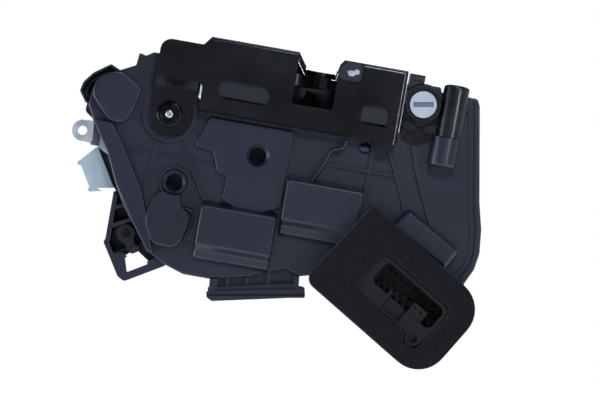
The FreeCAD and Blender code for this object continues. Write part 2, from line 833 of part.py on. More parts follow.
def front_cover():
    outer = slab_y(cover_outline, cover_y, split_y)
    outer = outer.makeFillet(edge_r, edges_at_y(outer, cover_y))
    forms = [
        raised(strap_points, -20.4, cover_y + 1, edge_r),
        raised(boss_points, -21.2, cover_y + 1, edge_r),
        raised(bulge_points, -20.6, cover_y + 1, edge_r),
        raised(plateau_points, -19.8, cover_y + 1, 0.5),
        raised(region_points, -20.4, cover_y + 1, 0.7),
        raised(conduit_points, cover_y - 6.5, cover_y + 1, 1.9),
        bulge_solid(block_c),
        bulge_solid(block_d),
        slab_y(tower_outline(), deck_y + deck_t, cover_y + 1),
    ]
    ribs = [
        ([(-71.0, -39.8), (-43.4, -39.8)], 0.9, 0.9),
        ([(-72.2, -52.3), (-33.6, -52.3)], 0.9, 0.9),
        ([(-59.2, -46.0), (-61.5, -68.0)], 1.6, 1.0),
        ([(-49.5, -46.2), (-36.0, -68.0)], 1.4, 0.8),
        ([(-66.0, -65.0), (-55.5, -59.3), (-50.0, -55.0)], 0.9, 0.9),
        ([(-44.8, -71.2), (-36.6, -71.2)], 0.9, 0.9),
        ([(12.6, -44.1), (41.6, -44.1)], 1.1, 1.6),
        ([(29.9, -31.0), (29.9, -58.0)], 1.3, 1.6),
        ([(36.8, -34.0), (41.6, -44.2), (47.8, -58.4)], 1.3, 1.6),
        ([(46.1, -30.2), (50.0, -41.0), (60.0, -63.0)], 1.8, 2.0),
        (outer_rib, 1.2, 1.4),
        (inner_rib, 0.9, 0.8),
        ([(-45.6, -31.9), (20.0, -31.9)], 1.0, 1.5),
    ]
    for line, width, height in ribs:
        forms.append(slab_y(strip(line, width), cover_y - height, cover_y + 0.5))
    forms.append(rod_y(tab_x, tab_z, 11.6, cover_y - 2.3, cover_y + 1))
    forms.append(rod_y(-49.5, -62.6, 6.6, boss_top_y, cover_y + 1))
    forms.append(rod_y(-43.2, -75.4, 1.8, -22.2, cover_y + 1))
    forms.append(bead(hook_points, cover_y - 2.0, 0.55))
    forms.append(slab_y(strip(hook_points, 1.1), cover_y - 2.0, cover_y + 0.5))
    forms.append(bead(ridge_points, cover_y - 3.4, 0.8))
    forms.append(Part.makeSphere(2.4, Vector(26.6, cover_y, -34.8)))
    forms.append(rod_y(38.0, -53.2, 7.0, cover_y - 0.5, cover_y + 1))
    forms.append(saddle())
    ring = rod_y(key_x, key_z, collar_r + 1.6, cover_y - 2.0, cover_y + 1)
    forms.append(ring.common(block(housing_right, 80, -30, 0, -30, 0)))
    outer = joined([outer] + forms)
    voids = [slab_y(inset(cover_outline, wall), cover_y + wall, split_y + 1)]
    voids.append(bulge_void(block_c))
    voids.append(bulge_void(block_d))
    voids.append(slab_y(inset(bulge_points, wall), -20.6 + wall, cover_y + wall + 1))
    voids.append(slab_y(inset(tower_outline(), wall), deck_y + deck_t + wall, cover_y + wall + 1))
    shape = outer.cut(voids)
    posts = []
    for x, z in screw_spots:
        posts.append(rod_y(x, z, 5.2, cover_y + 1, split_y))
    posts.append(rod_y(tab_x, tab_z, 4.6, cover_y + 1, split_y))
    posts.append(rod_y(key_x, key_z, key_shaft_r + 2.0, cover_y + 1, cover_y + 5))
    for x0, z in ((lock_post_x - post_t, lock_motor_z), (safe_post_x, safe_motor_z)):
        posts.append(block(x0, x0 + post_t, cover_y + 0.5, motor_y + 2.4, z - 2.6, z + 2.6))
    shape = joined([shape] + posts)
    cuts = []
    for x0, z in ((lock_post_x - post_t, lock_motor_z), (safe_post_x, safe_motor_z)):
        cuts.append(rod_x(motor_y, z, journal_r + run, x0 - 1, x0 + post_t + 1))
    cuts.append(slab_y(turned(inset(body_points, -fit), plug_turn), deck_y, socket_floor + 4))
    for x, z in screw_spots:
        cuts.append(rod_y(x, z, 3.4, cover_y - 6, split_y - 3))
        cuts.append(rod_y(x, z, 1.8, cover_y - 6, split_y + 1))
        cuts.append(cone_y(x, z, 5.6, 3.4, cover_y - 3.6, cover_y - 1.4))
    cuts.append(ring_y(-49.5, -62.6, 4.9, 5.8, boss_top_y - 1, cover_y))
    above = block(tab_x - 2 * tab_r, tab_x + 2 * tab_r, cover_y - 4, tab_seat + 1, tab_z + tab_r, 0)
    cuts.append(rod_y(tab_x, tab_z, tab_r + 0.5, cover_y - 3, tab_seat).cut(above))
    cuts.append(block(tab_left - 1.2, tab_right + 1.2, cover_y - 3, tab_seat, tab_z, -10))
    cuts.append(rod_y(tab_x, tab_z, rivet_r, -30, 20))
    cuts.append(rod_y(key_x, key_z, collar_r + fit, cover_y - 3, cover_y + 0.6))
    cuts.append(rod_y(key_x, key_z, key_shaft_r + run, -40, 20))
    cuts.append(rod_z(tube_x, tube_y, tube_r + fit, sleeve_low - fit, 5))
    cuts.append(lever_slot())
    cuts.append(rod_y(key_x, key_z, 6.3, key_lever_y0 - 0.5, split_y + 1))
    cuts.append(rod_y(lock_wheel_x, lock_wheel_z, wheel_r + 1.2, wheel_y0 - 0.4, split_y + 1))
    cuts.append(slab_y([(-7.0, -66.8), (-3.6, -64.4), (-3.6, -66.8)], cover_y - 4, cover_y + 0.8))
    cuts.append(slab_y(corner_pit, cover_y - 4, cover_y + 1.2))
    cuts.append(rod_y(15.8, -39.4, 0.9, cover_y - 4, cover_y + 0.8))
    return shape.cut(cuts)


def tower_outline():
    return turned(tower_points, plug_turn)


tab_seat = tab_y + plate_t
tube_y = cover_y - tube_r - fit


def saddle():
    upper = slab_y(box_points(tube_x - 5.2, -12.5, tube_x + 6.2, -6.3, 0.5), cover_y - 4.2, cover_y + 1)
    cup = rod_z(cup_x, tube_y, cup_r, tube_low, sleeve_low - gap)
    cup = cup.makeFillet(1.4, [e for e in cup.Edges if e.BoundBox.ZMax < tube_low + 0.1])
    back = block(cup_x - cup_r, cup_x + cup_r, tube_y, cover_y + 1, tube_low + 0.6, sleeve_low - gap)
    socket = rod_z(tube_x, tube_y, barrel_r + 0.5, tube_low + 1.5, 0)
    return joined([upper, joined([cup, back]).cut(socket)])


def lever_slot():
    """The opening that the release lever swings in."""
    left = -96.0
    near = [(left, -44.2), (-84.5, -44.2), (-80.0, -47.5), (-70.0, -56.0)]
    far = [(-73.0, -66.5), (-84.0, -66.5), (left, -62.0)]
    outer = box_points(left, -62.0, -82.6, -43.9)
    back = lever_y + lever_t + 0.8
    return slab_y(near + far, lever_y - 0.8, back).fuse(slab_y(outer, lever_y - 3.4, back))


save("front_cover", front_cover())


def motor(x0, z, nose_side):
    """A flat sided motor can with a bearing nose at one end."""
    x1 = x0 + motor_length
    can = rod_x(motor_y, z, motor_half_y, x0, x1)
    can = can.common(block(x0, x1, -60, 60, z - motor_half_z, z + motor_half_z))
    if nose_side < 0:
        nose_part = rod_x(motor_y, z, 3.0, x0 - motor_nose, x0 + 1)
        hole = rod_x(motor_y, z, journal_r + run, x0 - 2, x0 + 3)
        stub = rod_x(motor_y, z, 3.0, x1 - 1, x1 + 1.0)
    else:
        nose_part = rod_x(motor_y, z, 3.0, x1 - 1, x1 + motor_nose)
        hole = rod_x(motor_y, z, journal_r + run, x1 - 3, x1 + 2)
        stub = rod_x(motor_y, z, 3.0, x0 - 1.0, x0 + 1)
    return joined([can, nose_part, stub]).cut(hole)


def worm(x_mid, z, x_motor, x_post):
    """A screw thread with a gap centred on x_mid, its shaft running from motor to post."""
    length = worm_lead * worm_turns
    line = Part.makeHelix(worm_lead, length, worm_root_r)
    base = 0.27 * worm_lead
    crest = 0.12 * worm_lead
    r0 = worm_root_r - 0.15
    section = [(r0, -base), (worm_tip_r, -crest), (worm_tip_r, crest), (r0, base), (r0, -base)]
    profile = Part.makePolygon([Vector(r, 0, h) for r, h in section])
    thread = Part.Wire(line.Edges).makePipeShell([profile], True, True)
    thread.rotate(Vector(0, 0, 0), Vector(0, 1, 0), 90)
    thread.translate(Vector(x_mid - length / 2, motor_y, z))
    core = rod_x(motor_y, z, worm_root_r, x_mid - length / 2 - 0.8, x_mid + length / 2 + 0.8)
    shaft = rod_x(motor_y, z, journal_r, min(x_motor, x_post), max(x_motor, x_post))
    return joined([core.fuse(thread), shaft])


def gear_points(x, z, teeth, module, phase, share, first=0, last=None):
    """Teeth with straight flanks round (x, z). Phase is the angle of the first tooth."""
    pitch = module * teeth / 2
    root = pitch - 1.2 * module
    tip = pitch + 0.85 * module
    step = 360.0 / teeth
    points = []
    for i in range(first, teeth if last is None else last):
        mid = phase + i * step
        half = step * share / 2
        for turn, r in ((-1.45 * half, root), (-0.6 * half, tip), (0.6 * half, tip), (1.45 * half, root)):
            a = math.radians(mid + turn)
            points.append((x + r * math.cos(a), z + r * math.sin(a)))
    return points


def wheel(x, z, phase, with_pinion):
    shape = slab_y(gear_points(x, z, gear_teeth, gear_module, phase, 0.4), wheel_y0, wheel_y1)
    if with_pinion:
        small = gear_points(x, z, pinion_teeth, pinion_module, sector_dir + 180.0, 0.4)
        shape = joined([shape, slab_y(small, wheel_y1 - 0.5, pinion_y1)])
    else:
        peg = rod_y(x, z + 4.2, 1.0, wheel_y1 - 0.5, wheel_y1 + 3.0)
        hub = rod_y(x, z, 2.6, wheel_y1 - 0.5, wheel_y1 + 1.2)
        shape = joined([shape, hub, peg])
    return shape.cut(rod_y(x, z, gear_pin_r + run, -40, 20))


# Locking lever, driven through a toothed sector by the pinion on the lock wheel
sector_dir = -60.0
centre_to_lever = pinion_module * (pinion_teeth + sector_teeth) / 2 + fit
sector_step = 360.0 / sector_teeth
lock_lever_x = lock_wheel_x - centre_to_lever * math.cos(math.radians(sector_dir))
lock_lever_z = lock_wheel_z - centre_to_lever * math.sin(math.radians(sector_dir))
lock_hub_r = 3.6


def locking_lever():
    x, z = lock_lever_x, lock_lever_z
    teeth = gear_points(x, z, sector_teeth, pinion_module, sector_dir + sector_step / 2, 0.4, -1, 2)
    fan = slab_y([(x, z)] + teeth, sector_y0, sector_y1)
    arm = placed([(-2.6, -1.6), (1.6, 2.6), (-4.6, 9.6, 1.6), (-7.6, 7.4, 1.6)], x, z)
    hub = rod_y(x, z, lock_hub_r, sector_y0, sector_y1)
    lever = joined([hub, fan, slab_y(arm, sector_y0, sector_y1)])
    return lever.cut(rod_y(x, z, gear_pin_r + run, -40, 20))


save("lock_motor", motor(lock_motor_x0, lock_motor_z, -1))
save("safe_motor", motor(safe_motor_x0, safe_motor_z, 1))
save("lock_worm", worm(lock_wheel_x, lock_motor_z, lock_motor_x0 + 2.6, lock_post_x - post_t + 0.2))
safe_shaft_x = safe_motor_x0 + motor_length - 2.6
save("safe_worm", worm(safe_wheel_x, safe_motor_z, safe_shaft_x, safe_post_x + post_t - 0.2))
save("lock_wheel", wheel(lock_wheel_x, lock_wheel_z, 90.0, True))
save("safe_wheel", wheel(safe_wheel_x, safe_wheel_z, -90.0 + 180.0 / gear_teeth, False))
save("locking_lever", locking_lever())
pins = [
    ("lock_wheel_pin", lock_wheel_x, lock_wheel_z, wheel_y0 - 0.3),
    ("safe_wheel_pin", safe_wheel_x, safe_wheel_z, wheel_y0 - 0.3),
    ("locking_lever_pin", lock_lever_x, lock_lever_z, sector_y0 - 0.4),
]
for name, x, z, y0 in pins:
    save(name, rod_y(x, z, gear_pin_r, y0, rear_floor))

# Release lever of plated zinc: the eye is set forward by a joggle
joggle = 2.6


def release_lever():
    arm = [
        (-84.2, -45.2),
        (lever_x - 1.0, lever_z + 6.4, 4.0),
        (lever_x + 5.4, lever_z, 4.0),
        (lever_x, lever_z - 6.2, 4.0),
        (-79.5, -56.0, 3.0),
        (-84.2, -53.6),
    ]
    tip = [
        (-87.4, -43.0, 1.5),
        (-86.6, -52.6, 2.0),
        (-91.0, -52.3, 2.0),
        (-92.0, -43.3, 2.0),
    ]
    inner = slab_y(arm, lever_y, lever_y + lever_t)
    outer = slab_y(tip, lever_y - joggle, lever_y - joggle + lever_t)
    front = lever_y - joggle
    section = [(-83.9, lever_y), (-83.9, lever_y + lever_t), (-87.6, front + lever_t), (-87.6, front)]
    slope = slab_z(section, -53.2, -44.4)
    eye = rod_y(eye_x, eye_z, eye_r, lever_y - joggle, lever_y - joggle + lever_t)
    shape = joined([inner, outer, slope, eye])
    holes = [
        rod_y(eye_x, eye_z, eye_hole_r, -40, 20),
        rod_y(lever_x, lever_z, lever_pin_r + run, -40, 20),
    ]
    return shape.cut(holes)


save("release_lever", release_lever())
save("release_lever_pin", rod_y(lever_x, lever_z, lever_pin_r, lever_y - 0.6, rear_floor))

# Key spindle with its slotted disc, and the collar round it
disc_y = flange_y
slot_w = 2.1
slot_l = 8.4


def key_spindle():
    disc = rod_y(key_x, key_z, key_r, disc_y, disc_y + 3.0)
    disc = disc.makeFillet(0.5, edges_at_y(disc, disc_y))
    shaft = rod_y(key_x, key_z, key_shaft_r, disc_y + 2.0, rear_y + 6.0)
    shape = joined([disc, shaft])
    slot = box_points(-slot_l / 2, -slot_w / 2, slot_l / 2, slot_w / 2, 0.4)
    front_slot = slab_y(turned(slot, foot_turn, key_x, key_z), disc_y - 1, disc_y + 1.4)
    rear_slot = block(key_x - 1.25, key_x + 1.25, rear_y + 1.0, rear_y + 7, key_z - 6, key_z + 6)
    return shape.cut([front_slot, rear_slot])


def key_lever():
    half = [(3.0, 5.6, 2.0), (-3.0, 5.6, 2.0), (-3.0, -5.6, 2.0), (3.0, -5.6, 2.0)]
    arm = turned([(10.4, -1.8, 1.8), (10.4, 1.8, 1.8)] + half, -40.0, key_x, key_z)
    hub = rod_y(key_x, key_z, 6.0, key_lever_y0, key_lever_y1)
    lever = joined([hub, slab_y(arm, key_lever_y0, key_lever_y1)])
    return lever.cut(rod_y(key_x, key_z, key_shaft_r, -40, 20))


save("key_spindle", key_spindle())
save("key_lever", key_lever())
collar = rod_y(key_x, key_z, collar_r, disc_y + 1.0, cover_y + 0.5)
collar = collar.cut(rod_y(key_x, key_z, key_r + 0.4, disc_y, cover_y - 3.0))
collar = collar.cut(rod_y(key_x, key_z, key_shaft_r + run, disc_y, 0))
save("spindle_collar", collar)

# Sleeve of the emergency lock and the slotted barrel that turns in it


def lock_sleeve():
    shape = rod_z(tube_x, tube_y, tube_r, sleeve_low, tube_top)
    dome = [e for e in shape.Edges if e.BoundBox.ZMin > tube_top - 0.01]
    shape = shape.makeFillet(1.3, dome)
    band = rod_z(tube_x, tube_y, tube_r + 1, sleeve_low + 0.8, sleeve_low + 1.4)
    band = band.cut(rod_z(tube_x, tube_y, tube_r - 0.4, sleeve_low, sleeve_low + 2))
    return shape.cut([rod_z(tube_x, tube_y, barrel_r + run, sleeve_low - 1, 2), band])


def lock_spindle():
    shape = rod_z(tube_x, tube_y, barrel_r, tube_low + 2.2, tube_top - 0.8)
    slot = block(tube_x - 3.0, tube_x + 3.0, tube_y - 0.8, tube_y + 0.8, tube_top - 4.0, 0)
    return shape.cut(slot)


save("lock_sleeve", lock_sleeve())
save("lock_spindle", lock_spindle())

# Connector: deck, shell and contact blades, in the turned frame
deck_points = [(60.4, -71.6, 3.0), (120.0, -71.6, 11.0), (120.0, -34.2, 11.0), (62.6, -34.2, 3.0)]
lobe_u = 107.3
lobe_n = -62.4
lobe_r = 3.4
blade_t = 0.6
blade_w = 1.2


def plug_spot(u, n):
    x, z = turned([(u, n)], plug_turn)[0]
    return x, z


def slab_plug(points, y0, y1):
    return slab_y(turned(points, plug_turn), y0, y1)


def blades(y0, y1):
    shapes = []
    for row, n in ((0, -47.4), (1, -52.4)):
        for i in range(8):
            u = 82.0 + 3.4 * i + 0.6 * row
            x, z = plug_spot(u, n)
            bar = block(-blade_w / 2, blade_w / 2, y0, y1, -blade_t / 2, blade_t / 2)
            bar.rotate(Vector(0, 0, 0), Vector(0, -1, 0), plug_turn)
            bar.translate(Vector(x, 0, z))
            shapes.append(bar)
    return shapes


def connector_socket():
    lobe_x, lobe_z = plug_spot(lobe_u, lobe_n)
    deck = slab_plug(deck_points, deck_y, deck_y + deck_t)
    shell = slab_plug(shell_points, shell_y, deck_y + 1)
    lobe = rod_y(lobe_x, lobe_z, lobe_r, shell_y, deck_y + 1)
    body = slab_plug(body_points, deck_y, socket_floor + shell_wall)
    shape = joined([deck, shell, lobe, body])
    floor = socket_floor + 0.5
    added = [
        slab_plug(box_points(98.2, -62.0, 105.4, -50.5, 0.8), shell_y + 0.6, deck_y + deck_t),
        slab_plug(box_points(98.2, -56.5, 105.4, -53.0), shell_y + 0.6, floor),
        slab_plug(box_points(87.2, -56.0, 88.6, -53.2), shell_y + 0.4, floor),
    ]
    cuts = [
        slab_plug(cavity_points, shell_y - 1, socket_floor),
        slab_plug(box_points(88.6, -61.4, 98.2, -55.0, 0.6), shell_y - 1, deck_y + 1.2),
        rod_y(lobe_x, lobe_z, 2.0, shell_y - 1, deck_y + deck_t + 1),
    ]
    shape = joined([shape.cut(cuts)] + added)
    return shape.cut(blades(shell_y, 0))


save("connector_socket", connector_socket())
save("connector_pins", group(blades(socket_floor - 7.5, socket_floor + shell_wall + 4.0)))


def foam_gasket():
    corners = [(57.4, -73.7, 4.5), (122.0, -73.7, 13.0), (122.0, -31.9, 13.0), (58.8, -31.9, 2.6)]
    lobe_x, lobe_z = plug_spot(lobe_u, lobe_n)
    shape = slab_plug(corners, foam_y, deck_y)
    hole = slab_plug(inset(shell_points, -gap), foam_y - 1, deck_y + 1)
    return shape.cut([hole, rod_y(lobe_x, lobe_z, lobe_r + gap, foam_y - 1, deck_y + 1)])


save("foam_gasket", foam_gasket())

# Rear housing
motors = [(lock_motor_x0, lock_motor_z), (safe_motor_x0, safe_motor_z)]
carrier_y = 4.0
carrier_t = 1.6
carrier_points = [(33, -70, 2), (58, -64, 2), (73, -73, 2), (71, -84, 2), (60, -98, 2), (40, -86, 2)]
carrier_posts = [(40.0, -74.0), (64.0, -84.0), (58.0, -70.0)]


def ear_wall():
    # Thin rim in front of the ear, clear of the cover
    line = [(x, z) for x, z, r in ear_rim]
    wall_band = slab_y(strip(line, 2 * rim_w), cover_y + 1.0, split_y + 1)
    wall_band = wall_band.common(slab_y(rear_outline, cover_y, split_y + 2))
    return wall_band.cut(slab_y(inset(cover_outline, -gap), cover_y, split_y + 2))


def rear_housing():
    outer = slab_y(rear_outline, split_y, rear_y)
    outer = outer.makeFillet(edge_r, edges_at_y(outer, rear_y))
    forms = [
        rod_y(key_x, key_z, key_shaft_r + 3.0, rear_y - 1, rear_y + 3.0),
        ear_wall(),
    ]
    lines = [
        [(-80.0, -44.0), (-30.0, -44.0), (60.0, -44.0)],
        [(-66.0, -66.0), (70.0, -66.0)],
        [(-60.0, -84.0), (60.0, -84.0)],
        [(-58.0, -30.0), (-58.0, -86.0)],
        [(-28.0, -30.0), (-28.0, -96.0)],
        [(2.0, -30.0), (2.0, -88.0)],
        [(32.0, -30.0), (32.0, -90.0)],
        [(62.0, -12.0), (62.0, -104.0)],
    ]
    for line in lines:
        forms.append(slab_y(strip(line, 1.4), rear_y - 1, rear_y + 1.2))
    pads = [
        [(-57.0, -94.0, 4), (-40.0, -94.0, 4), (-40.0, -70.0, 4), (-60.0, -66.0, 6)],
        [(44.0, -60.0, 3), (72.0, -60.0, 3), (72.0, -98.0, 5), (44.0, -92.0, 3)],
    ]
    for x0, z in motors:
        pads.append(box_points(x0 - 2, z - 8, x0 + motor_length + 2, z + 8, 2.0))
    for points in pads:
        pad = slab_y(points, rear_y - 1, rear_y + 1.8)
        forms.append(pad.makeFillet(0.8, edges_at_y(pad, rear_y + 1.8)))
    for x, z in screw_spots + [(lever_x, lever_z), (safe_wheel_x, safe_wheel_z)]:
        forms.append(rod_y(x, z, 6.0, rear_y - 1, rear_y + 1.8))
    outer = joined([outer] + forms)
    shape = outer.cut(slab_y(inset(rear_outline, wall), split_y, rear_floor))
    posts = []
    for x, z in screw_spots:
        posts.append(rod_y(x, z, 4.0, split_y, rear_floor + 0.5))
    posts.append(rod_y(tab_x, tab_z, 4.6, split_y, rear_floor + 0.5))
    posts.append(rod_y(lock_wheel_x, lock_wheel_z, 3.0, pinion_y1 + gap, rear_floor + 0.5))
    posts.append(rod_y(safe_wheel_x, safe_wheel_z, 2.8, wheel_y1 + 1.2 + gap, rear_floor + 0.5))
    posts.append(rod_y(lock_lever_x, lock_lever_z, 3.0, sector_y1 + gap, rear_floor + 0.5))
    posts.append(rod_y(lever_x, lever_z, 4.5, lever_y + lever_t + gap, rear_floor + 0.5))
    posts.append(rod_y(key_x, key_z, key_shaft_r + 2.0, split_y, rear_floor + 0.5))
    half = motor_half_z - 0.6
    for x0, z in motors:
        for x in (x0 + 3.0, x0 + motor_length - 5.0):
            posts.append(block(x, x + 2.0, motor_y + 4.0, rear_floor + 0.5, z - half, z + half))
    for x, z in carrier_posts:
        posts.append(rod_y(x, z, 2.6, carrier_y + carrier_t, rear_floor + 0.5))
    shape = joined([shape] + posts)
    cuts = []
    for x, z in screw_spots:
        cuts.append(rod_y(x, z, 1.5, split_y - 1, rear_floor - 2))
    cuts.append(rod_y(tab_x, tab_z, rivet_r, split_y - 1, rear_floor - 6))
    for name, x, z, y0 in pins:
        cuts.append(rod_y(x, z, gear_pin_r, y0, rear_floor))
    cuts.append(rod_y(lever_x, lever_z, lever_pin_r, lever_y, rear_floor))
    cuts.append(rod_y(key_x, key_z, key_shaft_r + run, -40, 40))
    half = motor_half_z + fit
    for x0, z in motors:
        bed = rod_x(motor_y, z, motor_half_y + fit, x0 - 1, x0 + motor_length + 1)
        bed = bed.common(block(x0 - 1, x0 + motor_length + 1, cover_y, rear_floor, z - half, z + half))
        cuts.append(bed)
    return shape.cut(cuts)


save("rear_housing", rear_housing())

# Fasteners
screws = []
for x, z in screw_spots:
    head = rod_y(x, z, 3.1, split_y - 5.6, split_y - 3.0)
    shank = rod_y(x, z, 1.5, split_y - 3.0, rear_floor - 4.0)
    socket = slab_y(arc_points(x, z, 1.6, 0, 300, 5), split_y - 6, split_y - 4.0)
    screws.append(joined([head, shank]).cut(socket))
save("housing_screws", group(screws))
rivet_parts = [rod_y(tab_x, tab_z, rivet_r, tab_y, rear_floor - 8.0)]
for r, rise, edge in ((5.5, 1.5, 1.2), (3.7, 2.0, 0.3), (1.6, 2.6, 0.4)):
    disc = rod_y(tab_x, tab_z, r, tab_y - rise, tab_y)
    rivet_parts.append(disc.makeFillet(edge, edges_at_y(disc, tab_y - rise)))
save("tab_rivet", joined(rivet_parts))

# Circuit carrier and its switches
carrier = slab_y(carrier_points, carrier_y, carrier_y + carrier_t)
save("circuit_carrier", carrier)
switches = []
for x, z in ((42.0, -80.0), (52.0, -72.0), (62.0, -78.0)):
    switches.append(block(x - 4.0, x + 4.0, carrier_y - 6.0, carrier_y, z - 2.0, z + 2.0))
save("microswitches", group(switches))

# Levers and holders outside the housing
housing_prism = slab_y(rear_outline, -40, 40).fuse(slab_y(cover_outline, -40, 40))
frame_y0 = -14.0
frame_y1 = 4.0
frame_wall = 2.0
frame_points = [
    (-60.0, -70.6),
    (-74.3, -70.6, 0.5),
    (-74.3, -91.0, 1.0),
    (-74.9, -92.4, 0.8),
    (-66.6, -105.6, 2.0),
    (-63.6, -107.4, 2.0),
    (-47.8, -98.0, 0.5),
    (-46.5, -92.0),
]
frame_hole = [(-64.8, -97.4, 0.5), (-60.0, -94.8, 0.5), (-54.6, -98.3, 0.5), (-63.0, -103.3, 0.5)]
wide_hole = [(-67.6, -98.4, 0.5), (-61.6, -93.6, 0.5), (-54.6, -98.3, 0.5), (-64.4, -104.2, 0.5)]
corner_web = [(-75.0, -93.0), (-70.6, -96.8), (-66.0, -95.4), (-60.0, -100.0), (-63.6, -107.4)]
corner_t = 1.6
inside_hub_r = 3.8
inside_pin_r = 1.8
inside_turn = -58.0
inside_y0 = frame_y0 + 4.0
inside_y1 = inside_y0 + 3.0


def cable_bracket():
    """Open frame that holds the end of the inside handle's cable."""
    shape = slab_y(frame_points, frame_y0, frame_y1)
    room = slab_y(inset(frame_points, frame_wall), frame_y0 - 1, frame_y1 - frame_wall)
    shape = shape.cut(room)
    bars = [
        strip([(-75.0, -78.4), (-60.0, -72.0)], 1.6),
        strip([(-75.0, -86.4), (-60.0, -78.6)], 1.6),
        strip([(-71.4, -97.4), (-60.0, -91.4), (-52.0, -87.0)], 1.6),
        strip([(-64.2, -106.0), (-48.0, -95.2)], 4.4),
    ]
    whole = slab_y(frame_points, frame_y0, frame_y1)
    parts = [shape, slab_y(corner_web, frame_y0, frame_y0 + corner_t).common(whole)]
    for i, line in enumerate(bars):
        y0 = frame_y0 + (0.0 if i in (0, 1, 3) else inside_y1 - frame_y0 + 1.0)
        parts.append(slab_y(line, y0, frame_y1).common(whole))
    parts.append(rod_y(inside_x, inside_z, 3.0, inside_y1 + gap, frame_y1))
    shape = joined(parts)
    cuts = [
        slab_y(frame_hole, frame_y0 - 1, frame_y1 + 1),
        slab_y(wide_hole, frame_y0 + corner_t, frame_y1 + 1),
        rod_y(inside_x, inside_z, inside_pin_r, -20, frame_y1 - 1.0),
        housing_prism,
    ]
    return shape.cut(cuts)


def inside_lever():
    arm = [(0, -2.6, 0.5), (8.6, -1.7, 1.6), (8.6, 1.7, 1.6), (0, 2.6, 0.5)]
    hook = [(6.2, -1.0), (9.0, -1.0, 0.8), (9.0, 3.2, 0.8), (6.2, 3.2, 0.8)]
    arm = turned(arm, inside_turn, inside_x, inside_z)
    hook = turned(hook, inside_turn, inside_x, inside_z)
    shape = joined(
        [
            rod_y(inside_x, inside_z, inside_hub_r, inside_y0, inside_y1),
            slab_y(arm, inside_y0, inside_y1),
            slab_y(hook, inside_y0 - 2.0, inside_y1),
        ]
    )
    return shape.cut(rod_y(inside_x, inside_z, inside_pin_r + run, -40, 20))


save("cable_bracket", cable_bracket())
save("inside_lever", inside_lever())
save("inside_lever_pin", rod_y(inside_x, inside_z, inside_pin_r, inside_y0 - 0.8, frame_y1 - 1.0))

guide_y0 = lever_y + lever_t + 2.0
guide_y1 = 6.0
guide_wall = 1.6
guide_points = [(-84.6, -53.2, 0.5), (-91.2, -60.6, 0.4), (-84.9, -71.2, 0.4), (-73.0, -69.0)]


def cable_guide():
    """Pale cover that leads the cable to the release lever."""
    shape = slab_y(guide_points, guide_y0, guide_y1)
    inner = inset(guide_points, guide_wall)
    shape = shape.cut(slab_y(inner, guide_y0 + guide_wall, guide_y1 + 1))
    upper = [(-89.6, -58.9), (-92.0, -61.3, 0.4), (-91.4, -62.5, 0.4), (-89.2, -62.2)]
    lower = [(-84.2, -70.0), (-85.8, -71.7, 0.4), (-84.9, -72.8, 0.4), (-80.0, -71.6)]
    hooks = [slab_y(points, guide_y0, guide_y0 + 4.0) for points in (upper, lower)]
    front = slab_y(guide_points, guide_y0 - 0.5, guide_y0 + 0.5)
    return joined([shape, front] + hooks).cut(housing_prism)


save("cable_guide", cable_guide())

# Foot rail under the housing
foot_front = foot_y - 6.0
rail_points = [
    (-28.6, -105.3, 0.5),
    (-28.0, -107.7, 0.8),
    (-25.6, -108.9, 0.5),
    (6.0, -102.0, 0.5),
    (12.7, -100.8, 0.8),
    (11.7, -96.3, 0.8),
    (8.9, -96.4, 0.5),
    (8.0, -97.9, 0.3),
]


def mounting_foot():
    web = slab_y([(-28.3, -96.0), (6.8, -86.0), (8.4, -98.0), (-27.4, -106.0)], foot_y, foot_y + 5.0)
    shelf_points = [(-28.3, -103.6), (8.2, -95.4), (8.4, -98.4), (-27.4, -106.6)]
    shelf = slab_y(shelf_points, foot_front + 2.0, foot_y + foot_depth)
    rail = slab_y(rail_points, foot_front, foot_y + foot_depth - 2.0)
    groove = slab_y(strip([(-29.5, -106.9), (13.5, -99.3)], 1.0), foot_front - 1, foot_front + 1.4)
    parts = [web, shelf, rail.cut(groove)]
    posts = [
        ([(-28.3, -95.0), (-24.8, -95.0), (-24.2, -106.0), (-27.6, -106.0)], foot_front + 1.0),
        ([(6.0, -88.0), (8.3, -88.0), (9.4, -98.0), (7.0, -98.4)], foot_front + 1.0),
    ]
    for x in (-20.6, -12.6, -3.8):
        low = -105.4 + 0.2 * (x + 28.0)
        posts.append((box_points(x - 0.8, low, x + 0.8, low + 13.0), foot_y - 2.5))
    for points, y0 in posts:
        parts.append(slab_y(points, y0, foot_y + 4.0))
    return joined(parts).cut(housing_prism)


save("mounting_foot", mounting_foot())

# Small clips at the top right
clip_y0 = cover_y - 5.0
clip_left = housing_right + 0.2
clip_right = clip_left + 6.5


def spindle_clip():
    upper = [(40.9, -20.4, 0.6), (53.6, -20.4, 0.6)]
    shield = upper + [(53.0, -25.6, 1.0), (47.0, -29.0, 1.2), (40.9, -27.2, 1.0)]
    shape = slab_y(shield, cover_y - 3.6, cover_y - fit)
    pocket = slab_y(inset(shield, 1.3), cover_y - 4.0, cover_y - 2.2)
    parts = [shape.cut(pocket)]
    for x, z in ((43.2, -22.2), (51.6, -22.0)):
        parts.append(rod_y(x, z, 2.4, clip_y0, cover_y - fit))
    return joined(parts).cut(rod_y(key_x, key_z, collar_r + 1.6 + fit, -40, 0))


def edge_clip():
    shape = block(clip_left, clip_right, cover_y - 4.0, cover_y + 9.0, -4.0 + fit, -0.6)
    lip = block(clip_left, clip_right, cover_y - 4.0, cover_y - 2.0 - fit, -6.6, -0.6)
    step = block(clip_left + 1.8, clip_right - 1.4, cover_y - 5.2, cover_y - 3.0, -3.0, -1.4)
    shape = joined([shape, lip, step])
    return shape.cut(rod_y(key_x, key_z, collar_r + 1.6 + fit, -40, 0))


save("spindle_clip", spindle_clip())
save("edge_clip", edge_clip())
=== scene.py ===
import math

import bmesh
import bpy
from mathutils import Matrix, Vector, noise


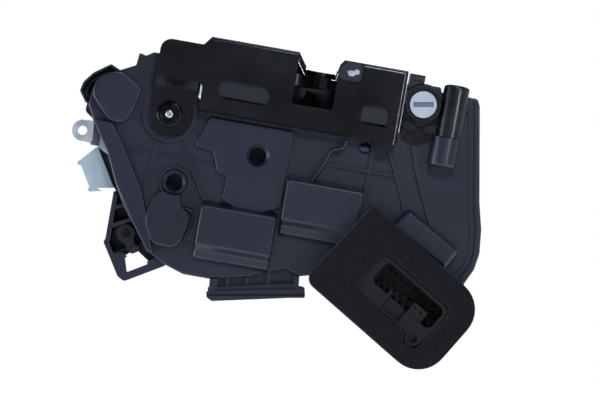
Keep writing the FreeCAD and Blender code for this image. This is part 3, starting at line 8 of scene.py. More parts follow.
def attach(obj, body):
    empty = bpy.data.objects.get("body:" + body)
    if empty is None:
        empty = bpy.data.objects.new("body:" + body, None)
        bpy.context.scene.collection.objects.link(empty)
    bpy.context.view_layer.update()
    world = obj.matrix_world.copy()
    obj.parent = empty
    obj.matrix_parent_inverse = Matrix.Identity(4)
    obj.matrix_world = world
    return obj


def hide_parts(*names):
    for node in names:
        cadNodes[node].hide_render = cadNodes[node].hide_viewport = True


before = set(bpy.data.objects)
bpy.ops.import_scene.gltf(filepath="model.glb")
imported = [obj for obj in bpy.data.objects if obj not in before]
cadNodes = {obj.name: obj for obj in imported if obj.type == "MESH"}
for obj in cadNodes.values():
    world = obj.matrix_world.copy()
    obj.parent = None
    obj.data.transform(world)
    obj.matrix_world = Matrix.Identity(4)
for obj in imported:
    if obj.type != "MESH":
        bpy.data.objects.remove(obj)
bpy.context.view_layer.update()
print("frame loaded:", len(cadNodes), "nodes")

mm = 0.001

# Sockets of a colour mix node
mixFirst = 6
mixSecond = 7
mixResult = 2


def srgb(red, green, blue):
    # 0 to 255 values to the linear colour that a shader wants
    values = []
    for value in (red, green, blue):
        value = value / 255.0
        values.append(value / 12.92 if value <= 0.04045 else ((value + 0.055) / 1.055) ** 2.4)
    return (values[0], values[1], values[2], 1.0)


def addNode(tree, kind, values=None, **fields):
    node = tree.nodes.new(kind)
    for field, value in fields.items():
        setattr(node, field, value)
    for label, value in (values or {}).items():
        node.inputs[label].default_value = value
    return node


# Camera and light

cameraSettings = {
    "aim": (3.5, -20.0, -60.8),
    "distance": 1200.0,
    "frameWidth": 251.0,
    "roll": 10.0,
    # Sensor width in mm, clip range in metres
    "sensor": 36.0,
    "clip": (0.01, 20.0),
}

lightSettings = {
    "world": 0.06,
    # Reflections meet a dark room in front of the lock and a pale one beside and behind it
    "sheen": {"From Min": -0.7, "From Max": 0.1, "To Min": 0.03, "To Max": 0.7},
    "tint": (0.82, 0.91, 1.0),
    "lamps": [
        # name, place, aim, size, watts
        ("keyLamp", (60.0, -600.0, 250.0), (0.0, -20.0, -60.0), 110.0, 1.15),
        ("edgeLamp", (520.0, -120.0, -330.0), (20.0, -20.0, -60.0), 200.0, 4.0),
        ("topLamp", (60.0, 40.0, 540.0), (0.0, -10.0, -50.0), 300.0, 0.5),
        ("rimLamp", (360.0, -520.0, 20.0), (30.0, -20.0, -50.0), 50.0, 0.6),
        ("lowLamp", (-40.0, -420.0, -620.0), (0.0, -20.0, -50.0), 130.0, 1.9),
        ("sideLamp", (-560.0, -120.0, -160.0), (0.0, -10.0, -60.0), 260.0, 1.6),
        ("backLamp", (60.0, 600.0, 160.0), (0.0, 0.0, -60.0), 500.0, 4.5),
    ],
}


def aimMatrix(place, aim):
    direction = (Vector(aim) - Vector(place)).normalized()
    return direction.to_track_quat("-Z", "Y").to_matrix().to_4x4()


def makeCamera(settings):
    data = bpy.data.cameras.new("photoCamera")
    data.sensor_width = settings["sensor"]
    data.lens = settings["sensor"] * settings["distance"] / settings["frameWidth"]
    data.clip_start, data.clip_end = settings["clip"]
    camera = bpy.data.objects.new("photoCamera", data)
    bpy.context.collection.objects.link(camera)
    roll = math.radians(settings["roll"])
    right = Vector((math.cos(roll), 0.0, math.sin(roll)))
    up = Vector((-math.sin(roll), 0.0, math.cos(roll)))
    back = Vector((0.0, -1.0, 0.0))
    turn = Matrix((right, up, back)).transposed().to_4x4()
    place = Vector(settings["aim"]) + back * settings["distance"]
    camera.matrix_world = Matrix.Translation(place * mm) @ turn
    bpy.context.scene.camera = camera


def makeLamps(settings):
    for name, place, aim, size, watts in settings["lamps"]:
        data = bpy.data.lights.new(name, "AREA")
        data.shape = "DISK"
        data.size = size * mm
        data.energy = watts
        data.color = settings["tint"]
        lamp = bpy.data.objects.new(name, data)
        bpy.context.collection.objects.link(lamp)
        lamp.matrix_world = Matrix.Translation(Vector(place) * mm) @ aimMatrix(place, aim)


def makeWorld(settings):
    world = bpy.data.worlds.new("studioWorld")
    bpy.context.scene.world = world
    world.use_nodes = True
    tree = world.node_tree
    tree.nodes.clear()
    path = addNode(tree, "ShaderNodeLightPath")
    seen = addNode(tree, "ShaderNodeMath", operation="MAXIMUM")
    way = addNode(tree, "ShaderNodeTexCoord")
    split = addNode(tree, "ShaderNodeSeparateXYZ")
    sheen = addNode(tree, "ShaderNodeMapRange", settings["sheen"])
    glossy = addNode(tree, "ShaderNodeMapRange", {"To Min": settings["world"]})
    strength = addNode(tree, "ShaderNodeMapRange", {"To Max": 1.0})
    paint = addNode(tree, "ShaderNodeMix", data_type="RGBA")
    paint.inputs[mixFirst].default_value = (*settings["tint"], 1.0)
    paint.inputs[mixSecond].default_value = (1.0, 1.0, 1.0, 1.0)
    background = addNode(tree, "ShaderNodeBackground")
    output = addNode(tree, "ShaderNodeOutputWorld")
    link = tree.links.new
    link(path.outputs["Is Camera Ray"], seen.inputs[0])
    link(path.outputs["Is Transmission Ray"], seen.inputs[1])
    link(way.outputs["Generated"], split.inputs[0])
    link(split.outputs["Y"], sheen.inputs["Value"])
    link(path.outputs["Is Glossy Ray"], glossy.inputs["Value"])
    link(sheen.outputs["Result"], glossy.inputs["To Max"])
    link(glossy.outputs["Result"], strength.inputs["To Min"])
    link(seen.outputs[0], strength.inputs["Value"])
    link(seen.outputs[0], paint.inputs["Factor"])
    link(paint.outputs[mixResult], background.inputs["Color"])
    link(strength.outputs["Result"], background.inputs["Strength"])
    link(background.outputs["Background"], output.inputs["Surface"])


makeCamera(cameraSettings)
makeLamps(lightSettings)
makeWorld(lightSettings)
bpy.context.scene.view_settings.view_transform = "Standard"
print("camera and lamps set")

# Shared effects as node groups


def makeGroup(name, inputs, outputs):
    tree = bpy.data.node_groups.new(name, "ShaderNodeTree")
    for label, kind, value in inputs:
        socket = tree.interface.new_socket(label, in_out="INPUT", socket_type=kind)
        if value is not None:
            socket.default_value = value
    for label, kind in outputs:
        tree.interface.new_socket(label, in_out="OUTPUT", socket_type=kind)
    return tree, tree.nodes.new("NodeGroupInput"), tree.nodes.new("NodeGroupOutput")


def makeGrainGroup():
    # Fine spark-eroded grain of a moulded or coated face
    tree, start, end = makeGroup(
        "mouldGrain",
        [
            ("Vector", "NodeSocketVector", None),
            ("Scale", "NodeSocketFloat", 1500.0),
            ("Swell", "NodeSocketFloat", 0.3),
        ],
        [("Height", "NodeSocketFloat")],
    )
    fine = addNode(tree, "ShaderNodeTexNoise", {"Detail": 4.0, "Roughness": 0.6})
    slow = addNode(tree, "ShaderNodeTexNoise", {"Detail": 1.0})
    slowScale = addNode(tree, "ShaderNodeMath", {1: 0.08}, operation="MULTIPLY")
    mixed = addNode(tree, "ShaderNodeMath", operation="MULTIPLY_ADD")
    link = tree.links.new
    link(start.outputs["Vector"], fine.inputs["Vector"])
    link(start.outputs["Vector"], slow.inputs["Vector"])
    link(start.outputs["Scale"], fine.inputs["Scale"])
    link(start.outputs["Scale"], slowScale.inputs[0])
    link(slowScale.outputs[0], slow.inputs["Scale"])
    link(slow.outputs["Fac"], mixed.inputs[0])
    link(start.outputs["Swell"], mixed.inputs[1])
    link(fine.outputs["Fac"], mixed.inputs[2])
    link(mixed.outputs[0], end.inputs["Height"])
    return tree


def makeDriftGroup():
    # Slow change of tone over a face
    tree, start, end = makeGroup(
        "toneDrift",
        [
            ("Vector", "NodeSocketVector", None),
            ("Scale", "NodeSocketFloat", 40.0),
            ("Dark", "NodeSocketColor", (0.02, 0.02, 0.02, 1.0)),
            ("Light", "NodeSocketColor", (0.05, 0.05, 0.05, 1.0)),
            ("Low", "NodeSocketFloat", 0.4),
            ("High", "NodeSocketFloat", 0.6),
        ],
        [("Color", "NodeSocketColor"), ("Value", "NodeSocketFloat")],
    )
    cloud = addNode(tree, "ShaderNodeTexNoise", {"Detail": 5.0, "Roughness": 0.62})
    spread = addNode(tree, "ShaderNodeMapRange", {"From Min": 0.3, "From Max": 0.7})
    mixed = addNode(tree, "ShaderNodeMix", data_type="RGBA")
    level = addNode(tree, "ShaderNodeMapRange")
    link = tree.links.new
    link(start.outputs["Vector"], cloud.inputs["Vector"])
    link(start.outputs["Scale"], cloud.inputs["Scale"])
    link(cloud.outputs["Fac"], spread.inputs["Value"])
    link(spread.outputs["Result"], mixed.inputs["Factor"])
    link(start.outputs["Dark"], mixed.inputs[mixFirst])
    link(start.outputs["Light"], mixed.inputs[mixSecond])
    link(spread.outputs["Result"], level.inputs["Value"])
    link(start.outputs["Low"], level.inputs["To Min"])
    link(start.outputs["High"], level.inputs["To Max"])
    link(mixed.outputs[mixResult], end.inputs["Color"])
    link(level.outputs["Result"], end.inputs["Value"])
    return tree


def makeScuffGroup():
    # Sparse fine scratches, as handling leaves them
    tree, start, end = makeGroup(
        "handlingScuffs",
        [
            ("Vector", "NodeSocketVector", None),
            ("Scale", "NodeSocketFloat", 60.0),
            ("Amount", "NodeSocketFloat", 0.35),
        ],
        [("Mask", "NodeSocketFloat")],
    )
    turned = addNode(tree, "ShaderNodeMapping", {"Rotation": (0.3, 0.9, 0.4), "Scale": (1.0, 1.0, 14.0)})
    streak = addNode(tree, "ShaderNodeTexNoise", {"Detail": 6.0, "Roughness": 0.7})
    place = addNode(tree, "ShaderNodeTexNoise", {"Detail": 2.0})
    slim = addNode(tree, "ShaderNodeMapRange", {"From Min": 0.66, "From Max": 0.74})
    patch = addNode(tree, "ShaderNodeMapRange", {"From Min": 0.5, "From Max": 0.62})
    both = addNode(tree, "ShaderNodeMath", operation="MULTIPLY")
    scaled = addNode(tree, "ShaderNodeMath", operation="MULTIPLY")
    link = tree.links.new
    link(start.outputs["Vector"], turned.inputs["Vector"])
    link(turned.outputs["Vector"], streak.inputs["Vector"])
    link(start.outputs["Scale"], streak.inputs["Scale"])
    link(start.outputs["Vector"], place.inputs["Vector"])
    link(start.outputs["Scale"], place.inputs["Scale"])
    link(streak.outputs["Fac"], slim.inputs["Value"])
    link(place.outputs["Fac"], patch.inputs["Value"])
    link(slim.outputs["Result"], both.inputs[0])
    link(patch.outputs["Result"], both.inputs[1])
    link(both.outputs[0], scaled.inputs[0])
    link(start.outputs["Amount"], scaled.inputs[1])
    link(scaled.outputs[0], end.inputs["Mask"])
    return tree


def makeCellGroup():
    # Open cells of a foam or a fine casting skin
    tree, start, end = makeGroup(
        "cellSkin",
        [("Vector", "NodeSocketVector", None), ("Scale", "NodeSocketFloat", 900.0)],
        [("Height", "NodeSocketFloat"), ("Mask", "NodeSocketFloat")],
    )
    cells = addNode(tree, "ShaderNodeTexVoronoi", {"Randomness": 1.0})
    crumbs = addNode(tree, "ShaderNodeTexNoise", {"Detail": 3.0, "Roughness": 0.7})
    height = addNode(tree, "ShaderNodeMath", {1: 0.7}, operation="MULTIPLY_ADD")
    specks = addNode(tree, "ShaderNodeMapRange", {"From Min": 0.56, "From Max": 0.72})
    link = tree.links.new
    link(start.outputs["Vector"], cells.inputs["Vector"])
    link(start.outputs["Vector"], crumbs.inputs["Vector"])
    link(start.outputs["Scale"], cells.inputs["Scale"])
    link(start.outputs["Scale"], crumbs.inputs["Scale"])
    link(crumbs.outputs["Fac"], height.inputs[0])
    link(cells.outputs["Distance"], height.inputs[2])
    link(crumbs.outputs["Fac"], specks.inputs["Value"])
    link(height.outputs[0], end.inputs["Height"])
    link(specks.outputs["Result"], end.inputs["Mask"])
    return tree


mouldGrain = makeGrainGroup()
toneDrift = makeDriftGroup()
handlingScuffs = makeScuffGroup()
cellSkin = makeCellGroup()
print("shared effects built")

# Materials


def placeGroup(tree, group, values=None):
    node = tree.nodes.new("ShaderNodeGroup")
    node.node_tree = group
    for label, value in (values or {}).items():
        node.inputs[label].default_value = value
    return node


def placeDrift(tree, look):
    tones = {"Scale": look["driftScale"], "Dark": look["dark"], "Light": look["light"]}
    return placeGroup(tree, toneDrift, tones)


def startMaterial(name):
    material = bpy.data.materials.new(name)
    material.use_nodes = True
    tree = material.node_tree
    shader = tree.nodes["Principled BSDF"]
    place = addNode(tree, "ShaderNodeTexCoord")
    return material, tree, shader, place.outputs["Object"]


def addBump(tree, shader, height, strength, distance):
    bump = addNode(tree, "ShaderNodeBump", {"Strength": strength, "Distance": distance * mm})
    tree.links.new(height, bump.inputs["Height"])
    tree.links.new(bump.outputs["Normal"], shader.inputs["Normal"])


def depthTone(tree, place, tone, look):
    # Another tone from one depth along Y on: painted shade on a slot floor, bare metal on a crown
    if "depth" not in look:
        return tone
    link = tree.links.new
    split = addNode(tree, "ShaderNodeSeparateXYZ")
    depth = addNode(tree, "ShaderNodeMapRange")
    depth.inputs["From Min"].default_value = look["depth"][0] * mm
    depth.inputs["From Max"].default_value = look["depth"][1] * mm
    mixed = addNode(tree, "ShaderNodeMix", data_type="RGBA")
    mixed.inputs[mixSecond].default_value = look["depthColor"]
    link(place, split.inputs[0])
    link(split.outputs["Y"], depth.inputs["Value"])
    link(depth.outputs["Result"], mixed.inputs["Factor"])
    link(tone, mixed.inputs[mixFirst])
    return mixed.outputs[mixResult]


def coatedMaterial(name, look):
    # Plastic or paint: slow drift of tone, fine grain, a few pale scuffs
    material, tree, shader, place = startMaterial(name)
    link = tree.links.new
    drift = placeDrift(tree, look)
    drift.inputs["Low"].default_value, drift.inputs["High"].default_value = look["rough"]
    scuffs = placeGroup(tree, handlingScuffs, {"Scale": look["scuffScale"], "Amount": look["scuffs"]})
    pale = addNode(tree, "ShaderNodeMix", data_type="RGBA")
    pale.inputs[mixSecond].default_value = look["scuffColor"]
    grain = placeGroup(tree, mouldGrain, {"Scale": look["grainScale"], "Swell": look["swell"]})
    for group in (drift, scuffs, grain):
        link(place, group.inputs["Vector"])
    link(scuffs.outputs["Mask"], pale.inputs["Factor"])
    link(drift.outputs["Color"], pale.inputs[mixFirst])
    link(depthTone(tree, place, pale.outputs[mixResult], look), shader.inputs["Base Color"])
    link(drift.outputs["Value"], shader.inputs["Roughness"])
    shader.inputs["Metallic"].default_value = look.get("metal", 0.0)
    shader.inputs["Specular IOR Level"].default_value = look.get("specular", 0.5)
    shader.inputs["Coat Weight"].default_value = look.get("coat", 0.0)
    shader.inputs["Coat Roughness"].default_value = look.get("coatRough", 0.2)
    addBump(tree, shader, grain.outputs["Height"], look["bump"], look["bumpDepth"])
    return material


def brushedMaterial(name, look):
    # Turned or rolled metal: streaks one way, with blotches of tone
    material, tree, shader, place = startMaterial(name)
    link = tree.links.new
    drift = placeDrift(tree, look)
    drift.inputs["Low"].default_value, drift.inputs["High"].default_value = look["rough"]
    stretch = addNode(tree, "ShaderNodeMapping", {"Scale": look["stretch"]})
    grain = placeGroup(tree, mouldGrain, {"Scale": look["grainScale"], "Swell": brushedGrain["swell"]})
    link(place, drift.inputs["Vector"])
    link(place, stretch.inputs["Vector"])
    link(stretch.outputs["Vector"], grain.inputs["Vector"])
    link(depthTone(tree, place, drift.outputs["Color"], look), shader.inputs["Base Color"])
    link(drift.outputs["Value"], shader.inputs["Roughness"])
    shader.inputs["Metallic"].default_value = 1.0
    addBump(tree, shader, grain.outputs["Height"], look["bump"], brushedGrain["bumpDepth"])
    return material


def foamMaterial(name, look):
    material, tree, shader, place = startMaterial(name)
    link = tree.links.new
    cells = placeGroup(tree, cellSkin, {"Scale": look["cellScale"]})
    drift = placeDrift(tree, look)
    specks = addNode(tree, "ShaderNodeMix", data_type="RGBA")
    specks.inputs[mixSecond].default_value = look["speck"]
    for group in (cells, drift):
        link(place, group.inputs["Vector"])
    link(drift.outputs["Color"], specks.inputs[mixFirst])
    link(cells.outputs["Mask"], specks.inputs["Factor"])
    link(specks.outputs[mixResult], shader.inputs["Base Color"])
    shader.inputs["Roughness"].default_value = look["rough"]
    shader.inputs["Specular IOR Level"].default_value = look["specular"]
    shader.inputs["Sheen Weight"].default_value = look["sheen"]
    addBump(tree, shader, cells.outputs["Height"], look["bump"], look["bumpDepth"])
    return material


coatedLooks = {
    "housingPlastic": {
        "dark": srgb(23, 26, 46),
        "light": srgb(28, 32, 55),
        "driftScale": 26.0,
        "rough": (0.34, 0.44),
        "scuffs": 0.10,
        "scuffScale": 45.0,
        "scuffColor": srgb(92, 98, 118),
        "grainScale": 2600.0,
        "swell": 0.6,
        "bump": 0.22,
        "bumpDepth": 0.05,
    },
    "darkMoulding": {
        "dark": srgb(13, 15, 21),
        "light": srgb(19, 21, 29),
        "driftScale": 40.0,
        "rough": (0.22, 0.32),
        "scuffs": 0.1,
        "scuffScale": 80.0,
        "scuffColor": srgb(80, 84, 96),
        "grainScale": 2200.0,
        "swell": 0.5,
        "bump": 0.14,
        "bumpDepth": 0.04,
    },
    # Painted shade: a darker copy of the dark moulding for the connector socket, standing in for the shade
    # in its cavity
    "shadedSocketMoulding": {
        "dark": srgb(8, 9, 15),
        "light": srgb(12, 14, 22),
        "driftScale": 60.0,
        "rough": (0.42, 0.55),
        "scuffs": 0.05,
        "scuffScale": 80.0,
        "scuffColor": srgb(60, 62, 70),
        "grainScale": 1800.0,
        "swell": 0.5,
        "bump": 0.12,
        "bumpDepth": 0.03,
        "specular": 0.28,
    },
    "platePaint": {
        "dark": srgb(7, 9, 16),
        "light": srgb(12, 14, 23),
        "driftScale": 30.0,
        "rough": (0.2, 0.3),
        "scuffs": 0.35,
        "scuffScale": 70.0,
        "scuffColor": srgb(96, 100, 110),
        "grainScale": 900.0,
        "swell": 1.6,
        "bump": 0.18,
        "bumpDepth": 0.05,
        "coat": 0.2,
        "coatRough": 0.16,
    },
    "casePlastic": {
        "dark": srgb(13, 15, 28),
        "light": srgb(18, 21, 38),
        "driftScale": 40.0,
        "rough": (0.34, 0.48),
        "scuffs": 0.12,
        "scuffScale": 60.0,
        "scuffColor": srgb(70, 74, 86),
        "grainScale": 1800.0,
        "swell": 0.5,
        "bump": 0.2,
        "bumpDepth": 0.04,
    },
    "clawCoat": {
        "dark": srgb(14, 14, 16),
        "light": srgb(22, 22, 25),
        "driftScale": 60.0,
        "rough": (0.28, 0.38),
        "scuffs": 0.2,
        "scuffScale": 90.0,
        "scuffColor": srgb(70, 70, 76),
        "grainScale": 1500.0,
        "swell": 0.4,
        "bump": 0.12,
        "bumpDepth": 0.03,
    },
    "bufferRubber": {
        "dark": srgb(16, 16, 17),
        "light": srgb(27, 27, 29),
        "driftScale": 80.0,
        "rough": (0.7, 0.85),
        "scuffs": 0.05,
        "scuffScale": 80.0,
        "scuffColor": srgb(60, 60, 62),
        "grainScale": 1200.0,
        "swell": 0.8,
        "bump": 0.3,
        "bumpDepth": 0.05,
    },
    "whiteDisc": {
        "dark": srgb(212, 219, 234),
        "light": srgb(227, 232, 245),
        # Painted shade: the slot floor, deeper along Y, is darkened to grey-blue
        "depth": (-26.6, -25.8),
        "depthColor": srgb(138, 152, 168),
        "driftScale": 70.0,
        "rough": (0.42, 0.55),
        "scuffs": 0.25,
        "scuffScale": 160.0,
        "scuffColor": srgb(150, 158, 176),
        "grainScale": 1400.0,
        "swell": 0.5,
        "bump": 0.15,
        "bumpDepth": 0.04,
    },
    "paleGuide": {
        "dark": srgb(200, 216, 226),
        "light": srgb(218, 230, 238),
        "driftScale": 50.0,
        "rough": (0.38, 0.5),
        "scuffs": 0.12,
        "scuffScale": 80.0,
        "scuffColor": srgb(205, 214, 222),
        "grainScale": 1500.0,
        "swell": 0.6,
        "bump": 0.18,
        "bumpDepth": 0.04,
    },
    "gearPlastic": {
        "dark": srgb(196, 190, 174),
        "light": srgb(222, 217, 203),
        "driftScale": 90.0,
        "rough": (0.36, 0.46),
        "scuffs": 0.1,
        "scuffScale": 120.0,
        "scuffColor": srgb(160, 154, 140),
        "grainScale": 1600.0,
        "swell": 0.4,
        "bump": 0.1,
        "bumpDepth": 0.03,
    },
    "carrierBoard": {
        "dark": srgb(20, 28, 24),
        "light": srgb(29, 38, 33),
        "driftScale": 60.0,
        "rough": (0.4, 0.5),
        "scuffs": 0.08,
        "scuffScale": 90.0,
        "scuffColor": srgb(90, 96, 92),
        "grainScale": 1500.0,
        "swell": 0.5,
        "bump": 0.1,
        "bumpDepth": 0.03,
    },
    "whiteGrease": {
        "dark": srgb(186, 196, 214),
        "light": srgb(236, 240, 248),
        "driftScale": 420.0,
        "rough": (0.18, 0.3),
        "scuffs": 0.0,
        "scuffScale": 80.0,
        "scuffColor": srgb(255, 255, 255),
        "grainScale": 500.0,
        "swell": 1.5,
        "bump": 0.4,
        "bumpDepth": 0.1,
        "coat": 0.6,
        "coatRough": 0.08,
    },
}

brushedGrain = {
    "swell": 0.2,
    "bumpDepth": 0.05,
}

brushedLooks = {
    "zincPlate": {
        "dark": srgb(186, 193, 207),
        "light": srgb(226, 231, 240),
        "driftScale": 130.0,
        "rough": (0.3, 0.46),
        "stretch": (1.0, 1.0, 1.0),
        "grainScale": 900.0,
        "bump": 0.16,
    },
    "turnedSteel": {
        "dark": srgb(168, 172, 180),
        "light": srgb(206, 209, 215),
        "driftScale": 110.0,
        "rough": (0.24, 0.38),
        "stretch": (1.0, 8.0, 1.0),
        "grainScale": 700.0,
        "bump": 0.12,
    },
    "darkSteel": {
        "dark": srgb(84, 87, 95),
        "light": srgb(128, 132, 142),
        "driftScale": 90.0,
        "rough": (0.3, 0.46),
        "stretch": (1.0, 1.0, 9.0),
        "grainScale": 600.0,
        "bump": 0.16,
    },
    # Painted shade: screws deep in their holes and the inside lever pin darkened to the shade where they sit
    "shadedBlackSteel": {
        "dark": srgb(26, 27, 32),
        "light": srgb(44, 46, 54),
        "driftScale": 120.0,
        "rough": (0.26, 0.4),
        "stretch": (1.0, 1.0, 1.0),
        "grainScale": 700.0,
        "bump": 0.12,
    },
    "rivetSteel": {
        "dark": srgb(30, 31, 37),
        "light": srgb(50, 52, 61),
        "driftScale": 120.0,
        "rough": (0.22, 0.34),
        "stretch": (1.0, 1.0, 1.0),
        "grainScale": 700.0,
        "bump": 0.12,
        "depth": (-23.55, -23.7),
        "depthColor": srgb(226, 229, 238),
    },
    # Painted shade: contact pins kept near black for the shade deep in the connector cavity
    "shadedContactMetal": {
        "dark": srgb(14, 14, 14),
        "light": srgb(26, 25, 24),
        "driftScale": 200.0,
        "rough": (0.24, 0.36),
        "stretch": (1.0, 6.0, 1.0),
        "grainScale": 900.0,
        "bump": 0.1,
    },
}

foamLook = {
    "dark": srgb(15, 16, 21),
    "light": srgb(21, 22, 28),
    "speck": srgb(42, 44, 53),
    "driftScale": 45.0,
    "cellScale": 1150.0,
    "rough": 0.92,
    "specular": 0.25,
    "sheen": 0.15,
    "bump": 0.9,
    "bumpDepth": 0.35,
}

materials = {}
for name, look in coatedLooks.items():
    materials[name] = coatedMaterial(name, look)
for name, look in brushedLooks.items():
    materials[name] = brushedMaterial(name, look)
materials["gasketFoam"] = foamMaterial("gasketFoam", foamLook)

nodeFinishes = {
    "housingPlastic": [
        "front_cover",
        "rear_housing",
        "edge_clip",
        "cable_bracket",
        "mounting_foot",
    ],
    "darkMoulding": ["lock_sleeve", "spindle_collar", "spindle_clip"],
    "shadedSocketMoulding": ["connector_socket"],
    "platePaint": ["latch_plate", "back_plate"],
    "casePlastic": ["latch_case", "lock_spindle", "inside_lever", "microswitches"],
    "clawCoat": ["claw_coat"],
    "bufferRubber": ["striker_buffer"],
    "whiteDisc": ["key_spindle"],
    "paleGuide": ["cable_guide"],
    "gearPlastic": ["lock_worm", "safe_worm", "lock_wheel", "safe_wheel", "locking_lever", "key_lever"],
    "carrierBoard": ["circuit_carrier"],
    "zincPlate": ["release_lever", "thread_bushes"],
    "turnedSteel": [
        "claw_pin",
        "pawl_pin",
        "lock_motor",
        "safe_motor",
        "lock_wheel_pin",
        "safe_wheel_pin",
        "locking_lever_pin",
        "release_lever_pin",
    ],
    "darkSteel": ["claw", "pawl", "claw_spring", "pawl_spring"],
    "shadedBlackSteel": ["housing_screws", "inside_lever_pin"],
    "rivetSteel": ["tab_rivet"],
    "shadedContactMetal": ["connector_pins"],
    "gasketFoam": ["foam_gasket"],
}

for finish, names in nodeFinishes.items():
    for name in names:
        mesh = cadNodes[name].data
        mesh.materials.clear()
        mesh.materials.append(materials[finish])
print("materials built:", len(materials))

# Shared modelling helpers


def finishPiece(name, shape, finish, body="housing", smooth=True):
    # The bmesh becomes an object at the origin, with its place in its mesh
    bmesh.ops.recalc_face_normals(shape, faces=shape.faces)
    mesh = bpy.data.meshes.new(name)
    shape.to_mesh(mesh)
    shape.free()
    for polygon in mesh.polygons:
        polygon.use_smooth = smooth
    mesh.materials.append(materials[finish])
    piece = bpy.data.objects.new(name, mesh)
    bpy.context.collection.objects.link(piece)
    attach(piece, body)
    return piece


def turnedPlace(u, n, turn):
    a = math.radians(turn)
    return u * math.cos(a) - n * math.sin(a), u * math.sin(a) + n * math.cos(a)


def evenLoop(points, count):
    # The same closed outline with points at even distances along it
    steps = [(points[i] - points[i - 1]).length for i in range(1, len(points))]
    steps.append((points[0] - points[-1]).length)
    spots = []
    i, passed = 0, 0.0
    for k in range(count):
        target = sum(steps) * k / count
        while passed + steps[i] < target:
            passed += steps[i]
            i += 1
        share = (target - passed) / steps[i]
        spots.append(points[i].lerp(points[(i + 1) % len(points)], share))
    return spots


def roundedLoop(corners, steps):
    # Points round an outline of (a, b, radius) corners, the same number for each corner
    points = []
    count = len(corners)
    for i, (a, b, radius) in enumerate(corners):
        corner = Vector((a, b))
        before = (Vector(corners[i - 1][:2]) - corner).normalized()
        after = (Vector(corners[(i + 1) % count][:2]) - corner).normalized()
        half = before.angle(after) / 2
        inset = radius / math.tan(half)
        start = corner + before * inset
        centre = corner + (before + after).normalized() * (radius / math.sin(half))
        end = corner + after * inset
        turn = (start - centre).angle_signed(end - centre)
        for step in range(steps + 1):
            arm = (start - centre).copy()
            arm.rotate(Matrix.Rotation(-turn * step / steps, 2))
            points.append(centre + arm)
    return points


# Foam gasket round the connector

foamGasketSettings = {
    # The connector stands square to a line turned down to the right
    "turn": -31.3,
    "outer": [(57.4, -73.7, 4.5), (122.0, -73.7, 13.0), (122.0, -31.9, 13.0), (58.8, -31.9, 2.6)],
    "inner": [
        (75.2, -62.9, 3.5),
        (103.6, -62.9, 0.5),
        (103.6, -66.1, 2.6),
        (111.0, -66.1, 3.0),
        (112.2, -58.0, 3.0),
        (112.2, -42.9, 3.5),
        (75.2, -42.9, 3.5),
    ],
    "cornerSteps": 9,
    "points": 160,
    "front": -36.0,
    "back": -31.0,
    # Edges folded by more than this many radians are rounded
    "cornerAngle": 1.0,
    "edge": 0.9,
    # Longer edges are cut for the waves of the skin
    "longEdge": 3.0,
    "cuts": 4,
    "wobble": 0.12,
    "coarse": 90.0,
    "fine": 320.0,
    "fineShare": 0.5,
}


def makeFoamGasket(settings):
    shape = bmesh.new()
    rings = []
    for corners in (settings["outer"], settings["inner"]):
        ring = []
        for u, n in evenLoop(roundedLoop(corners, settings["cornerSteps"]), settings["points"]):
            x, z = turnedPlace(u, n, settings["turn"])
            ring.append(shape.verts.new((x * mm, settings["front"] * mm, z * mm)))
        rings += [shape.edges.new((ring[i - 1], ring[i])) for i in range(len(ring))]
    front = bmesh.ops.bridge_loops(shape, edges=rings)["faces"]
    walls = bmesh.ops.extrude_face_region(shape, geom=front, use_keep_orig=True)["geom"]
    moved = [part for part in walls if isinstance(part, bmesh.types.BMVert)]
    thickness = settings["back"] - settings["front"]
    bmesh.ops.translate(shape, verts=moved, vec=(0.0, thickness * mm, 0.0))
    bmesh.ops.recalc_face_normals(shape, faces=shape.faces)
    paired = [edge for edge in shape.edges if len(edge.link_faces) == 2]
    sharp = [edge for edge in paired if edge.calc_face_angle(0.0) > settings["cornerAngle"]]
    bmesh.ops.bevel(
        shape, geom=sharp, offset=settings["edge"] * mm, segments=3, profile=0.5, affect="EDGES", material=-1
    )
    wide = [edge for edge in shape.edges if edge.calc_length() > settings["longEdge"] * mm]
    bmesh.ops.subdivide_edges(shape, edges=wide, cuts=settings["cuts"], use_grid_fill=True)
    for vert in shape.verts:
        push = noise.noise(vert.co * settings["coarse"])
        push += settings["fineShare"] * noise.noise(vert.co * settings["fine"])
        vert.co.y += push * settings["wobble"] * mm
    piece = finishPiece("gasketFoamPad", shape, "gasketFoam")
    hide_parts("foam_gasket")


makeFoamGasket(foamGasketSettings)
print("foam gasket made")

# Grease left on the nose of the latch case

greaseSettings = {
    # Centre and half sizes of each lobe
    "lobes": [
        ((15.6, -26.7, -5.2), (1.7, 0.5, 1.2)),
        ((17.6, -26.7, -4.3), (1.3, 0.45, 1.0)),
    ],
    "subdivisions": 4,
    # Height and scale of the lumps
    "coarse": (0.3, 1.7),
    "fine": (0.12, 4.3),
}


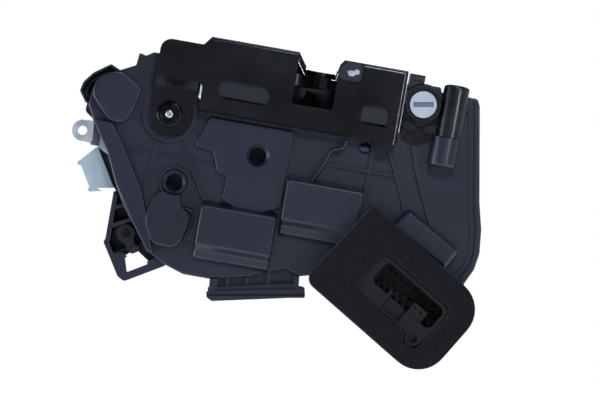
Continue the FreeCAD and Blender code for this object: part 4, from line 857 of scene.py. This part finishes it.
def makeGrease(settings):
    shape = bmesh.new()
    coarseHeight, coarseScale = settings["coarse"]
    fineHeight, fineScale = settings["fine"]
    for centre, size in settings["lobes"]:
        made = bmesh.ops.create_icosphere(shape, subdivisions=settings["subdivisions"], radius=1.0)
        for vert in made["verts"]:
            way = vert.co.normalized()
            grow = 1.0 + coarseHeight * noise.noise(way * coarseScale + Vector(centre))
            grow += fineHeight * noise.noise(way * fineScale)
            vert.co = (Vector(centre) + Vector([way[i] * size[i] for i in range(3)]) * grow) * mm
    piece = finishPiece("greaseSmear", shape, "whiteGrease")


makeGrease(greaseSettings)
print("grease made")

# Floor

floorSettings = {
    "level": -260.0,
    "half": 3000.0,
    "tone": (0.86, 0.86, 0.87, 1.0),
    "rough": 0.9,
    # The glow grows from the lock's foot outwards
    "glow": {"From Min": 0.1, "From Max": 0.5, "To Min": 0.72, "To Max": 1.0},
}


def makeFloor(settings):
    shape = bmesh.new()
    bmesh.ops.create_grid(shape, x_segments=1, y_segments=1, size=settings["half"] * mm)
    bmesh.ops.translate(shape, verts=shape.verts, vec=(0.0, 0.0, settings["level"] * mm))
    mesh = bpy.data.meshes.new("studioFloor")
    shape.to_mesh(mesh)
    shape.free()
    material, tree, shader, place = startMaterial("floorWhite")
    link = tree.links.new
    shader.inputs["Base Color"].default_value = settings["tone"]
    shader.inputs["Roughness"].default_value = settings["rough"]
    path = addNode(tree, "ShaderNodeLightPath")
    seen = addNode(tree, "ShaderNodeMath", operation="MAXIMUM")
    away = addNode(tree, "ShaderNodeVectorMath", operation="LENGTH")
    fade = addNode(tree, "ShaderNodeMapRange", settings["glow"])
    glow = addNode(tree, "ShaderNodeMath", operation="MULTIPLY")
    link(place, away.inputs[0])
    link(away.outputs["Value"], fade.inputs["Value"])
    link(path.outputs["Is Camera Ray"], seen.inputs[0])
    link(path.outputs["Is Glossy Ray"], seen.inputs[1])
    link(seen.outputs[0], glow.inputs[0])
    link(fade.outputs["Result"], glow.inputs[1])
    shader.inputs["Emission Color"].default_value = (1.0, 1.0, 1.0, 1.0)
    link(glow.outputs[0], shader.inputs["Emission Strength"])
    mesh.materials.append(material)
    floor = bpy.data.objects.new("studioFloor", mesh)
    bpy.context.collection.objects.link(floor)


makeFloor(floorSettings)
print("floor made")
